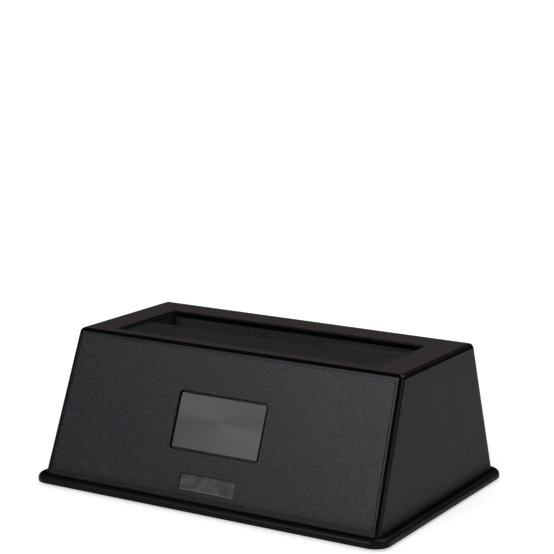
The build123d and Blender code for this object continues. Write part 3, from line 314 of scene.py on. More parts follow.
def moulded_grain_group():
    """Spark-eroded mould grain: fine rounded pits over a softer unevenness."""
    tree, given, end = new_group("Moulded Grain", {"Fineness": 2600.0}, ("Height", "Speckle"))
    pits = voronoi(tree, given["Vector"], given["Fineness"], "SMOOTH_F1")
    fill(tree, pits, {"Smoothness": PIT_SMOOTHNESS})
    softer = math_node(tree, "MULTIPLY", given["Fineness"], SOFT_FINENESS)
    soft = noise(tree, given["Vector"], softer, detail=3.0)
    pitted = math_node(tree, "MULTIPLY", pits.outputs["Distance"], PIT_HEIGHT)
    height = math_node(tree, "ADD", pitted, soft)
    fill(tree, end, {"Height": height, "Speckle": ramp(tree, soft, *SPECKLE_TONES)})
    return tree


def streaked_grain_group():
    """The front field's grain: short wavering ridges that run up the slope."""
    tree, given, end = new_group("Streaked Grain", {"Across": 2700.0, "Along": 1350.0}, ("Height", "Tone"))
    apart = split(tree, given["Vector"])
    across = math_node(tree, "MULTIPLY", apart["X"], given["Across"])
    upward = math_node(tree, "MULTIPLY", apart["Z"], given["Along"])
    slope = joined(tree, across, upward)
    ridges = noise(tree, slope, 1.0, detail=3.0, roughness=0.55, distortion=0.9)
    cells = voronoi(tree, slope, CREASE_SCALE, "DISTANCE_TO_EDGE")
    creases = ramp(tree, cells.outputs["Distance"], 0.0, CREASE_WIDTH)
    fine = noise(tree, slope, FINE_SCALE, roughness=0.6)
    height = math_node(tree, "ADD", ridges, math_node(tree, "MULTIPLY", creases, CREASE_HEIGHT))
    height = math_node(tree, "ADD", height, math_node(tree, "MULTIPLY", fine, FINE_HEIGHT))
    fill(tree, end, {"Height": height, "Tone": ramp(tree, ridges, *RIB_TONES)})
    return tree


def handling_group():
    """Where hands and dust have been: a slow mottle, with sparse fine specks."""
    tree, given, end = new_group("Handling", {"Spread": 45.0}, ("Smudge", "Dust"))
    slow = noise(tree, given["Vector"], given["Spread"], detail=4.0, distortion=0.6)
    specks = voronoi(tree, given["Vector"], SPECK_CELLS)
    grains = ramp(tree, specks.outputs["Distance"], *SPECK_EDGE, 1.0, 0.0)
    # Only the few cells with a high random red hold a speck
    chosen = tree.nodes.new("ShaderNodeSeparateColor")
    fill(tree, chosen, {0: specks.outputs["Color"]})
    sparse = ramp(tree, chosen.outputs[0], *SPECK_CHANCE)
    dust = math_node(tree, "MULTIPLY", grains, sparse)
    fill(tree, end, {"Smudge": ramp(tree, slow, *SMUDGE_TONES), "Dust": dust})
    return tree


def brushed_lines_group():
    """Fine brushed lines that run along X."""
    tree, given, end = new_group("Brushed Lines", {"Fineness": 5200.0}, ("Height", "Tone"))
    apart = split(tree, given["Vector"])
    scales = {"X": LINE_CHANGES, "Y": given["Fineness"], "Z": given["Fineness"]}
    drawn = (math_node(tree, "MULTIPLY", apart[letter], scale) for letter, scale in scales.items())
    lines = noise(tree, joined(tree, *drawn), 1.0, roughness=0.7)
    fill(tree, end, {"Height": lines, "Tone": ramp(tree, lines, *CLOUD_TONES)})
    return tree


def track_pattern_group():
    """Copper tracks and plated holes under a board's solder mask."""
    tree, given, end = new_group("Track Pattern", {}, ("Tracks", "Holes"))
    cells = voronoi(tree, given["Vector"], TRACK_CELLS)
    cells.distance = "MANHATTAN"
    rings = math_node(tree, "PINGPONG", cells.outputs["Distance"], TRACK_PITCH)
    holes = voronoi(tree, given["Vector"], HOLE_CELLS)
    fill(tree, end, {
        "Tracks": ramp(tree, rings, *TRACK_EDGE),
        "Holes": ramp(tree, holes.outputs["Distance"], *HOLE_EDGE, 1.0, 0.0),
    })
    return tree


groups = {}


def build_groups():
    """The shared effects, built once."""
    groups["grain"] = moulded_grain_group()
    groups["streaks"] = streaked_grain_group()
    groups["handling"] = handling_group()
    groups["brushed"] = brushed_lines_group()
    groups["tracks"] = track_pattern_group()


# Materials


def start_material(name):
    """A material with a bare Principled shader. Returns the material, its tree, shader and coordinates."""
    made = bpy.data.materials.new(name)
    made.use_nodes = True
    tree = made.node_tree
    tree.nodes.clear()
    shader = tree.nodes.new("ShaderNodeBsdfPrincipled")
    output = tree.nodes.new("ShaderNodeOutputMaterial")
    fill(tree, output, {"Surface": shader.outputs["BSDF"]})
    return made, tree, shader, tree.nodes.new("ShaderNodeTexCoord").outputs


def set_bump(tree, shader, height, depth):
    bump = tree.nodes.new("ShaderNodeBump")
    fill(tree, bump, {"Strength": 1.0, "Distance": depth, "Height": height})
    fill(tree, shader, {"Normal": bump.outputs["Normal"]})


def plastic(name, colour, rough, fineness=2600.0, depth=0.03 * MM, level=0.5, coat=0.0, polish_and_top_shade=0.0):
    """Moulded plastic: grain in the bump, a little mottle in colour and roughness, and dust.

    The last argument is how much smoother the faces that look up are, and how much darker they are painted,
    as a painted dark reflection."""
    made, tree, shader, where = start_material(name)
    grain = use_group(tree, "grain", where["Object"], Fineness=fineness)
    marks = use_group(tree, "handling", where["Object"])
    body = mottled(tree, grain["Speckle"], colour, PLASTIC_SHADES)
    body = dusted(tree, body, marks["Dust"], colour, *PLASTIC_DUST)
    uneven = graded(tree, marks["Smudge"], rough + PLASTIC_WEAR, rough - PLASTIC_WEAR)
    if polish_and_top_shade:
        # Painted dark reflection: faces that look up are painted darker, as well as made smoother
        shade_and_polish = ramp(tree, split(tree, where["Normal"])["Z"], *POLISHED_SHADED_TOP, 1.0, 1.0 - polish_and_top_shade)
        body = darkened(tree, body, shade_and_polish)
        uneven = math_node(tree, "MULTIPLY", uneven, shade_and_polish)
    fill(tree, shader, {"Base Color": body, "Roughness": uneven, "Specular IOR Level": level})
    fill(tree, shader, {"Coat Weight": coat, "Coat Roughness": 0.15})
    set_bump(tree, shader, grain["Height"], depth)
    return made


def metal(name, colour, rough):
    """Bare or plated metal: brushed lines in bump and tone, tarnish in the roughness."""
    made, tree, shader, where = start_material(name)
    lines = use_group(tree, "brushed", where["Object"])
    marks = use_group(tree, "handling", where["Object"], Spread=160.0)
    bright = mottled(tree, lines["Tone"], colour, METAL_SHADES)
    fill(tree, shader, {
        "Base Color": blend_colours(tree, marks["Smudge"], shade(colour, 0.85), bright),
        "Roughness": graded(tree, marks["Smudge"], rough + 0.08, rough - 0.04),
        "Metallic": 1.0,
    })
    set_bump(tree, shader, lines["Height"], depth=0.004 * MM)
    return made


def facing_masks(tree, looks):
    """From a face's normal: how flat it is, how much it is the front, and how far it looks aside and up."""
    directions = (FRONT_NORMAL, BACK_NORMAL, RIGHTWARD, LEFTWARD, UPWARD)
    front, back, right, left, up = (along(tree, looks, direction) for direction in directions)
    sideways = largest(tree, right, left)
    flattest = largest(tree, front, back, sideways, up)
    return ramp(tree, flattest, *FLAT_FACE), ramp(tree, front, *FRONT_FACE), sideways, up


def field_mask(tree, place):
    """One inside the groove of the front face."""
    apart = split(tree, place)
    rise = math_node(tree, "SUBTRACT", apart["Z"], FLANGE_TOP)
    half = math_node(tree, "MULTIPLY_ADD", rise, -SIDE_LEAN, CASE_HIGH.x - FIELD_MARGIN)
    inside = math_node(tree, "SUBTRACT", half, math_node(tree, "ABSOLUTE", apart["X"]))
    across = math_node(tree, "GREATER_THAN", inside, 0.0)
    low = math_node(tree, "GREATER_THAN", apart["Z"], FLANGE_TOP)
    high = math_node(tree, "LESS_THAN", apart["Z"], CASE_HIGH.z - FIELD_TOP_DROP)
    return math_node(tree, "MULTIPLY", across, math_node(tree, "MULTIPLY", low, high))


def ribbed_colour(tree, place, colour, tone):
    """The front field's colour: the grain's valleys and ridges, both warmer and cooler by turns."""
    tint = use_group(tree, "handling", place, Spread=110.0)
    warm, cool = (
        tuple(channel * factor for channel, factor in zip(colour, cast)) for cast in (WARM_CAST, COOL_CAST)
    )
    valleys, ridges = (
        blend_colours(tree, tint["Smudge"], shade(warm, factor), shade(cool, factor)) for factor in RIB_SHADES
    )
    return blend_colours(tree, tone, valleys, ridges)


def case_plastic(settings):
    """The case: streaked grain in the front field, fine grain on the other faces, smooth edges painted dark
    as a painted dark reflection, a painted reflection on the top, and painted shade in recesses and at the
    foot.
    """
    made, tree, shader, where = start_material("Housing Plastic")
    place = where["Object"]
    colour = tuple(settings.case_colour)
    edge_shade_colour = tuple(settings.edge_shade_colour)
    grain = use_group(tree, "grain", place, Fineness=2400.0)
    streaks = use_group(tree, "streaks", place)
    marks = use_group(tree, "handling", place)

    flat, front, sideways, up = facing_masks(tree, where["Normal"])
    field = math_node(tree, "MULTIPLY", field_mask(tree, place), front)
    deep, shallow = (FRONT_REACH - depth for depth in RECESS_SHADE_DEPTHS)
    # Painted shade: recesses in the front, such as the groove round the field, are painted in the dark edge
    # colour
    recess_shade = ramp(tree, along(tree, place, FRONT_NORMAL), deep, shallow, 1.0, 0.0)
    recess_shade = math_node(tree, "MULTIPLY", recess_shade, front)
    # Painted shade: the case is painted darker towards the flange, which shades its foot
    foot = ramp(tree, split(tree, place)["Z"], FLANGE_TOP, FLANGE_TOP + settings.foot_band, 1.0, 0.0)
    # Where the edges turn up into the top they carry the top's painted reflection
    turning = math_node(tree, "MULTIPLY", ramp(tree, up, *TURNING_UP), ramp(tree, sideways, *TURNING_ASIDE))

    plain = mottled(tree, grain["Speckle"], tuple(settings.side_colour), SIDE_SHADES)
    faces = blend_colours(tree, field, plain, ribbed_colour(tree, place, colour, streaks["Tone"]))
    # The faces' colour takes the painted shade at the foot
    faces = darkened(tree, faces, math_node(tree, "MULTIPLY_ADD", foot, -FOOT_SHADE, 1.0))
    # Painted reflection: the top face is painted lighter and warmer than the sides
    faces = blend_colours(tree, ramp(tree, up, *TOP_FACE), faces, tuple(settings.top_reflection_colour))
    rim = blend_colours(tree, turning, edge_shade_colour, tuple(settings.rim_reflection_colour))
    # Painted dark reflection: the smooth edges take the dark edge colour, though they are the faces' plastic
    edged = blend_colours(tree, flat, rim, faces)
    # Recesses take their painted shade
    edged = blend_colours(tree, recess_shade, edged, edge_shade_colour)
    coloured = dusted(tree, edged, marks["Dust"], colour, *CASE_DUST)

    worn = graded(tree, marks["Smudge"], CASE_WEAR, -CASE_WEAR)
    ahead = graded(tree, front, settings.face_roughness, settings.front_roughness)
    excess = math_node(tree, "SUBTRACT", ahead, settings.edge_roughness)
    rough = math_node(tree, "MULTIPLY_ADD", flat, excess, settings.edge_roughness)
    rough = math_node(tree, "MULTIPLY_ADD", foot, FOOT_ROUGHNESS, rough)
    rough = math_node(tree, "ADD", rough, worn)
    fill(tree, shader, {"Base Color": coloured, "Roughness": rough, "Specular IOR Level": 0.2})

    fine = math_node(tree, "MULTIPLY", grain["Height"], SIDE_GRAIN)
    height = math_node(tree, "MULTIPLY", blend_numbers(tree, field, fine, streaks["Height"]), flat)
    set_bump(tree, shader, height, depth=settings.grain_depth)
    return made


def badge_metal(settings):
    """Dark anodised plate, brushed from side to side."""
    made, tree, shader, where = start_material("Badge Metal")
    colour = tuple(settings.badge_colour)
    lines = use_group(tree, "brushed", where["Object"], Fineness=3400.0)
    marks = use_group(tree, "handling", where["Object"], Spread=70.0)
    bright = mottled(tree, lines["Tone"], colour, BADGE_SHADES)
    fill(tree, shader, {
        "Base Color": blend_colours(tree, marks["Smudge"], shade(colour, 0.95), bright),
        "Roughness": graded(tree, lines["Tone"], 0.42, 0.52),
        "Metallic": 0.6,
        "Anisotropic": 0.4,
    })
    set_bump(tree, shader, lines["Height"], depth=0.006 * MM)
    return made


def smoked_window(settings):
    """Smoked plastic: smooth, with a cloudy mottle that is partly the smoke and partly painted reflection
    patches, and a painted highlight on the bevel at its foot.
    """
    made, tree, shader, where = start_material("Smoked Window")
    clouds = noise(tree, where["Object"], 300.0, detail=1.5, roughness=0.4, distortion=0.3)
    # The mottle is partly the smoke's cloudiness and partly painted reflection patches
    body = mottled(tree, ramp(tree, clouds, *CLOUD_TONES), tuple(settings.window_colour), WINDOW_SHADES)
    # Painted highlight: the bevel is painted bright, where light catches the window's foot
    bevel = ramp(tree, split(tree, where["Normal"])["Z"], *BEVEL_BELOW, 1.0, 0.0)
    fill(tree, shader, {
        "Base Color": blend_colours(tree, bevel, body, BEVEL_HIGHLIGHT_COLOUR),
        "Roughness": ramp(tree, clouds, *CLOUD_TONES, 0.28, 0.2),
        "Transmission Weight": 0.1,
        "IOR": 1.49,
        "Specular IOR Level": 0.1,
    })
    set_bump(tree, shader, noise(tree, where["Object"], 500.0), depth=0.01 * MM)
    return made


def circuit_board():
    """Green solder mask over copper tracks, with tinned holes."""
    made, tree, shader, where = start_material("Circuit Board")
    pattern = use_group(tree, "tracks", where["Object"])
    marks = use_group(tree, "handling", where["Object"])
    mask = blend_colours(tree, pattern["Tracks"], MASK_GREEN, TRACK_GREEN)
    mask = blend_colours(tree, marks["Smudge"], mask, SMUDGED_GREEN)
    fill(tree, shader, {
        "Base Color": blend_colours(tree, pattern["Holes"], mask, TIN),
        "Roughness": graded(tree, marks["Smudge"], 0.32, 0.24),
        "Metallic": pattern["Holes"],
    })
    set_bump(tree, shader, pattern["Tracks"], depth=0.03 * MM)
    return made


def diffused_lens():
    """The indicator light's diffused plastic, unlit."""
    made, tree, shader, where = start_material("Light Lens")
    clouds = noise(tree, where["Object"], 900.0)
    cloudy = ramp(tree, clouds, *CLOUD_TONES)
    fill(tree, shader, {
        "Base Color": blend_colours(tree, cloudy, (0.5, 0.55, 0.62), (0.7, 0.74, 0.8)),
        "Roughness": ramp(tree, clouds, *CLOUD_TONES, 0.35, 0.22),
        "Transmission Weight": 0.35,
    })
    set_bump(tree, shader, clouds, depth=0.01 * MM)
    return made


def dress(finish, *nodes):
    """Gives CAD nodes one material."""
    for name in nodes:
        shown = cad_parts[name]
        shown.data.materials.clear()
        shown.data.materials.append(finish)


# Springs

COIL_SEGMENTS = 24
WIRE_SEGMENTS = 10
MERGE_SHARE = 0.02
FLAP_WIRE_RADIUS = 0.25 * MM
FLAP_SPRING_TURNS = 4.25
SWITCH_WIRE_RADIUS = 0.2 * MM
SWITCH_SPRING_TURNS = 3


def place_object(name, data):
    """A new object in the scene."""
    shown = bpy.data.objects.new(name, data)
    bpy.context.scene.collection.objects.link(shown)
    return shown


def draw_out(made, edges, travel):
    """Extrudes a ring of edges by the travel, and closes its far end."""
    drawn = bmesh.ops.extrude_edge_only(made, edges=edges)["geom"]
    verts = [item for item in drawn if isinstance(item, bmesh.types.BMVert)]
    bmesh.ops.translate(made, verts=verts, vec=travel)
    rim = [item for item in drawn if isinstance(item, bmesh.types.BMEdge) and item.is_boundary]
    bmesh.ops.contextual_create(made, geom=rim)


def spring_mesh(name, centre, axis, leave, advance, wire, radius, turns, start_run, end_run):
    """A coil about an axis with a straight run at each end, made by spinning a ring.

    leave is the direction, square to the axis, from the centre to the coil's start, and advance is the coil's
    whole travel along the axis. wire and radius are the wire's radius and the coil's."""
    made = bmesh.new()
    forward = axis.cross(leave).normalized()
    start = Matrix.Translation(centre + leave * radius)
    facing = Matrix((leave, axis, forward)).transposed().to_4x4()
    ring = bmesh.ops.create_circle(made, segments=WIRE_SEGMENTS, radius=wire, matrix=start @ facing)
    edges = list({edge for vertex in ring["verts"] for edge in vertex.link_edges})
    draw_out(made, edges, -forward * start_run)
    slices = round(turns * COIL_SEGMENTS)
    angle = 2 * pi * turns
    spun = bmesh.ops.spin(
        made, geom=edges, cent=centre, axis=axis, dvec=advance / slices, angle=angle, steps=slices,
    )
    last = [item for item in spun["geom_last"] if isinstance(item, bmesh.types.BMEdge)]
    draw_out(made, last, Matrix.Rotation(angle, 3, axis) @ forward * end_run)
    bmesh.ops.remove_doubles(made, verts=made.verts[:], dist=wire * MERGE_SHARE)
    bmesh.ops.recalc_face_normals(made, faces=made.faces[:])
    data = bpy.data.meshes.new(name)
    made.to_mesh(data)
    made.free()
    for face in data.polygons:
        face.use_smooth = True
    return place_object(name, data)


# Settings


class DockFinish(bpy.types.PropertyGroup):
    """Colours and finishes of the dock."""

    case_colour: bpy.props.FloatVectorProperty(
        name="Case Colour", description="Base colour of the case's front", default=(0.0158, 0.016, 0.0188),
        min=0.0, max=1.0, subtype="COLOR",
    )
    side_colour: bpy.props.FloatVectorProperty(
        name="Side Colour", description="Base colour of the case's sides and back",
        default=(0.0148, 0.0142, 0.018), min=0.0, max=1.0, subtype="COLOR",
    )
    # The top is painted lighter and warmer than the sides of the same moulding, as a painted reflection
    top_reflection_colour: bpy.props.FloatVectorProperty(
        name="Top Colour", description="Base colour of the case's top face", default=(0.031, 0.0262, 0.0247),
        min=0.0, max=1.0, subtype="COLOR",
    )
    # The smooth edges are painted darker than the faces of the same plastic, as a painted dark reflection
    edge_shade_colour: bpy.props.FloatVectorProperty(
        name="Edge Colour", description="Base colour of the polished edges", default=(0.002, 0.0017, 0.0026),
        min=0.0, max=1.0, subtype="COLOR",
    )
    # The edges turning into the top are painted with the top's reflection
    rim_reflection_colour: bpy.props.FloatVectorProperty(
        name="Rim Colour", description="Base colour of the edges where they turn into the top face",
        default=(0.011, 0.0085, 0.0085), min=0.0, max=1.0, subtype="COLOR",
    )
    base_colour: bpy.props.FloatVectorProperty(
        name="Base Colour", description="Base colour of the base plate", default=(0.0052, 0.0046, 0.0047),
        min=0.0, max=1.0, subtype="COLOR",
    )
    badge_colour: bpy.props.FloatVectorProperty(
        name="Badge Colour", description="Base colour of the badge plate", default=(0.074, 0.076, 0.081),
        min=0.0, max=1.0, subtype="COLOR",
    )
    window_colour: bpy.props.FloatVectorProperty(
        name="Window Colour", description="Base colour of the indicator window",
        default=(0.068, 0.068, 0.069), min=0.0, max=1.0, subtype="COLOR",
    )
    face_roughness: bpy.props.FloatProperty(
        name="Face Roughness", description="Roughness of the case's sides, back and top", default=0.5,
        min=0.0, max=1.0,
    )
    front_roughness: bpy.props.FloatProperty(
        name="Front Roughness", description="Roughness of the case's front", default=0.35, min=0.0, max=1.0,
    )
    edge_roughness: bpy.props.FloatProperty(
        name="Edge Roughness", description="Roughness of the case's smooth edges", default=0.16,
        min=0.0, max=1.0,
    )
    # Over this band the case's colour takes a painted shade towards the flange
    foot_band: bpy.props.FloatProperty(
        name="Foot Band", description="Height over which the case darkens towards the flange",
        default=4.5 * MM, min=0.0, max=20.0 * MM, precision=4, unit="LENGTH",
    )
    grain_depth: bpy.props.FloatProperty(
        name="Grain Depth", description="Depth of the case's grain", default=0.028 * MM,
        min=0.0, max=1.0 * MM, precision=6, unit="LENGTH",
    )


class DockStage(bpy.types.PropertyGroup):
    """Floor, lamps and camera."""

    floor_size: bpy.props.FloatProperty(
        name="Floor Size", description="Side of the floor", default=14.0, min=1.0, max=40.0, unit="LENGTH",
    )
    floor_colour: bpy.props.FloatVectorProperty(
        name="Floor Colour", description="Base colour of the floor", default=(0.72, 0.72, 0.72),
        min=0.0, max=1.0, subtype="COLOR",
    )
    key_power: bpy.props.FloatProperty(
        name="Key Power", description="Power of the front softbox", default=10.0,
        min=0.0, max=500.0, unit="POWER",
    )
    fill_power: bpy.props.FloatProperty(
        name="Fill Power", description="Power of the side softbox", default=2.0,
        min=0.0, max=500.0, unit="POWER",
    )
    room_power: bpy.props.FloatProperty(
        name="Room Power", description="Power of the fill behind the camera", default=8.0,
        min=0.0, max=500.0, unit="POWER",
    )
    top_power: bpy.props.FloatProperty(
        name="Top Power", description="Power of the overhead softbox", default=9.0,
        min=0.0, max=500.0, unit="POWER",
    )
    rear_power: bpy.props.FloatProperty(
        name="Rear Power", description="Power of the fill behind the dock", default=7.0,
        min=0.0, max=500.0, unit="POWER",
    )
    camera_turn: bpy.props.FloatProperty(
        name="Camera Turn", description="Camera's angle to the right of the front", default=radians(29.668),
        subtype="ANGLE",
    )
    camera_rise: bpy.props.FloatProperty(
        name="Camera Rise", description="Camera's angle above the horizon", default=radians(10.885),
        subtype="ANGLE",
    )
    camera_roll: bpy.props.FloatProperty(
        name="Camera Roll", description="Camera's turn about its own axis", default=radians(1.01),
        subtype="ANGLE",
    )
    camera_distance: bpy.props.FloatProperty(
        name="Camera Distance", description="Camera to the point that it looks at", default=650.11 * MM,
        min=0.1, max=5.0, unit="LENGTH",
    )
    camera_target: bpy.props.FloatVectorProperty(
        name="Camera Target", description="The point that the camera looks at",
        default=(0.97 * MM, 0.0, 75.67 * MM), subtype="TRANSLATION", unit="LENGTH",
    )
    focal_pixels: bpy.props.FloatProperty(
        name="Focal Pixels", description="Focal length in pixels of a frame 554 wide", default=1821.05,
        min=100.0,
    )


# The picture's width in pixels and the camera's in millimetres
FRAME_PIXELS = 554
SENSOR_WIDTH = 36.0
NEAR_CLIP = 10 * MM

# The floor lies just under the feet, so that the two don't flicker
FLOOR_DROP = 0.05 * MM
# How far from the dock the floor begins to fade to white, and is white
FADE_START, FADE_END = 0.2, 1.2
# How white it is before and after that, to the camera and in a reflection
CAMERA_LIFT = (0.6, 1.0)
MIRROR_LIFT = (0.1, 0.0)

# The room's own light, and what the part of it ahead of the dock adds, most of all low down
ROOM_LEVEL = 0.025
AHEAD_LEVEL = 0.03
AHEAD_SPAN = (-0.5, 0.3)
LOW_SPAN = (0.3, 0.7)
HIGH_SHARE = 0.2

LAMP_TARGET = (0, 0, 30 * MM)
# Each lamp's name, place, width, height and power setting, and whether glossy faces mirror it
LAMPS = (
    ("front_softbox", (-0.399, -1.304, 0.866), 0.5, 0.62, "key_power", True),
    ("room_fill", (0.228, -1.29, 0.95), 1.2, 1.0, "room_power", False),
    ("side_softbox", (1.525, -0.352, 0.363), 1.0, 0.7, "fill_power", True),
    ("top_softbox", (0.55, 0.6, 1.3), 1.2, 1.2, "top_power", True),
    ("rear_fill", (-0.5, 1.2, 0.75), 1.2, 0.9, "rear_power", False),
)


# Operators


class DOCK_OT_dress_case(bpy.types.Operator):
    """Gives the case, base, bay frame, flap and feet their plastic and rubber"""

    bl_idname = "dock.dress_case"
    bl_label = "Dress Case"

    def execute(self, context):
        finish = context.scene.dock_finish
        dress(case_plastic(finish), "upper_housing")
        # The base plate's upward faces are painted darker, a painted dark reflection of the case's side
        base = plastic(
            "Base Plastic", tuple(finish.base_colour), rough=0.36, depth=0.008 * MM, level=0.12, polish_and_top_shade=0.6,
        )
        dress(base, "base_plate")
        flap = plastic("Flap Plastic", (0.0165, 0.0153, 0.0152), rough=0.42, fineness=2200.0, depth=0.02 * MM)
        dress(flap, "bay_flap")
        dress(plastic("Frame Plastic", (0.014, 0.014, 0.0145), rough=0.5, fineness=1900.0), "drive_bay_frame")
        rubber = plastic(
            "Foot Rubber", (0.018, 0.018, 0.018), rough=0.8, fineness=3400.0, depth=0.05 * MM, level=0.3,
        )
        dress(rubber, "rubber_feet")
        return {"FINISHED"}


class DOCK_OT_dress_front(bpy.types.Operator):
    """Gives the badge plate and the indicator window their finishes"""

    bl_idname = "dock.dress_front"
    bl_label = "Dress Front"

    def execute(self, context):
        finish = context.scene.dock_finish
        dress(badge_metal(finish), "badge_plate")
        dress(smoked_window(finish), "indicator_window")
        return {"FINISHED"}


class DOCK_OT_dress_ports(bpy.types.Operator):
    """Gives the connector, the ports and the power switch their finishes"""

    bl_idname = "dock.dress_ports"
    bl_label = "Dress Ports"

    def execute(self, context):
        nylon = plastic(
            "Connector Nylon", (0.012, 0.012, 0.013), rough=0.45, fineness=3800.0, depth=0.01 * MM,
        )
        dress(nylon, "sata_receptacle", "dc_jack_body", "switch_body")
        dress(metal("Gold Contact", (0.78, 0.56, 0.2), rough=0.25), "sata_contacts", "usb_port_contacts")
        dress(metal("Nickel Plate", (0.62, 0.62, 0.61), rough=0.28), "usb_port_shell", "dc_jack_pin")
        insert = plastic("Blue Insert", (0.012, 0.075, 0.36), rough=0.4, fineness=3600.0, depth=0.01 * MM)
        dress(insert, "usb_port_insert")
        button = plastic(
            "Button Plastic", (0.014, 0.014, 0.015), rough=0.3, fineness=3000.0, depth=0.008 * MM, coat=0.2,
        )
        dress(button, "power_button")
        plunger = plastic("Plunger Nylon", (0.5, 0.5, 0.46), rough=0.45, fineness=3000.0, depth=0.01 * MM)
        dress(plunger, "switch_plunger")
        return {"FINISHED"}


class DOCK_OT_dress_board(bpy.types.Operator):
    """Gives the circuit board and the parts on it their finishes"""

    bl_idname = "dock.dress_board"
    bl_label = "Dress Board"

    def execute(self, context):
        dress(circuit_board(), "main_circuit_board")
        epoxy = plastic("Chip Epoxy", (0.015, 0.015, 0.0155), rough=0.55, fineness=5200.0, depth=0.008 * MM)
        dress(epoxy, "bridge_controller", "small_chips", "voltage_regulators", "capacitor_bases")
        lead = metal("Tinned Lead", (0.62, 0.62, 0.6), rough=0.32)
        dress(lead, "controller_leads", "small_chip_leads", "light_leads")
        dress(metal("Drawn Can", (0.68, 0.68, 0.69), rough=0.24), "crystal", "capacitor_cans")
        ferrite = plastic(
            "Pressed Ferrite", (0.04, 0.04, 0.043), rough=0.6, fineness=4200.0, depth=0.02 * MM,
        )
        dress(ferrite, "power_inductors")
        ceramic = plastic("Fired Ceramic", (0.3, 0.22, 0.14), rough=0.5, fineness=5200.0, depth=0.008 * MM)
        dress(ceramic, "chip_resistors")
        dress(diffused_lens(), "status_lights")
        return {"FINISHED"}


class DOCK_OT_dress_fasteners(bpy.types.Operator):
    """Gives the screws and the hinge pin their metals"""

    bl_idname = "dock.dress_fasteners"
    bl_label = "Dress Fasteners"

    def execute(self, context):
        dress(metal("Black Oxide", (0.03, 0.03, 0.032), rough=0.4), "cover_screws")
        dress(metal("Zinc Plate", (0.56, 0.57, 0.58), rough=0.3), "board_screws", "frame_screws")
        dress(metal("Ground Steel", (0.58, 0.58, 0.59), rough=0.2), "flap_hinge_pin")
        return {"FINISHED"}


class DOCK_OT_make_flap_springs(bpy.types.Operator):
    """Winds the two torsion springs round the flap's hinge pin"""

    bl_idname = "dock.make_flap_springs"
    bl_label = "Make Flap Springs"

    def execute(self, context):
        finish = metal("Spring Steel", (0.5, 0.5, 0.52), rough=0.26)
        pin_low, pin_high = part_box("flap_hinge_pin")
        middle = (pin_low + pin_high) / 2
        wire = FLAP_WIRE_RADIUS
        for name, side in (("flap_spring_left", -1), ("flap_spring_right", 1)):
            low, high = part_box(name)
            inner = (high.x if side < 0 else low.x) + side * wire
            outer = (low.x if side < 0 else high.x) - side * wire
            # The upper leg comes in from behind, over the top. The coil goes forward and down from it, and
            # ends in the lower leg
            piece = spring_mesh(
                name + "_wire", Vector((inner, middle.y, middle.z)),
                axis=Vector((1, 0, 0)), leave=Vector((0, 0, 1)), advance=Vector((outer - inner, 0, 0)),
                wire=wire, radius=high.z - wire - middle.z, turns=FLAP_SPRING_TURNS,
                start_run=high.y - middle.y, end_run=middle.z - low.z,
            )
            piece.data.materials.append(finish)
            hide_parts(name)
            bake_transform(piece)
        return {"FINISHED"}


class DOCK_OT_make_switch_spring(bpy.types.Operator):
    """Winds the power button's return spring"""

    bl_idname = "dock.make_switch_spring"
    bl_label = "Make Switch Spring"

    def execute(self, context):
        finish = metal("Switch Spring Steel", (0.5, 0.5, 0.52), rough=0.28)
        low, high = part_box("switch_spring")
        middle = (low + high) / 2
        wire = SWITCH_WIRE_RADIUS
        advance = high.y - low.y - 2 * wire
        piece = spring_mesh(
            "switch_spring_wire", Vector((middle.x, low.y + wire, middle.z)),
            axis=Vector((0, 1, 0)), leave=Vector((1, 0, 0)), advance=Vector((0, advance, 0)),
            wire=wire, radius=(high.x - low.x) / 2 - wire, turns=SWITCH_SPRING_TURNS,
            start_run=2 * wire, end_run=2 * wire,
        )
        piece.data.materials.append(finish)
        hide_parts("switch_spring")
        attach(piece, "case")
        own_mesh(piece)
        return {"FINISHED"}


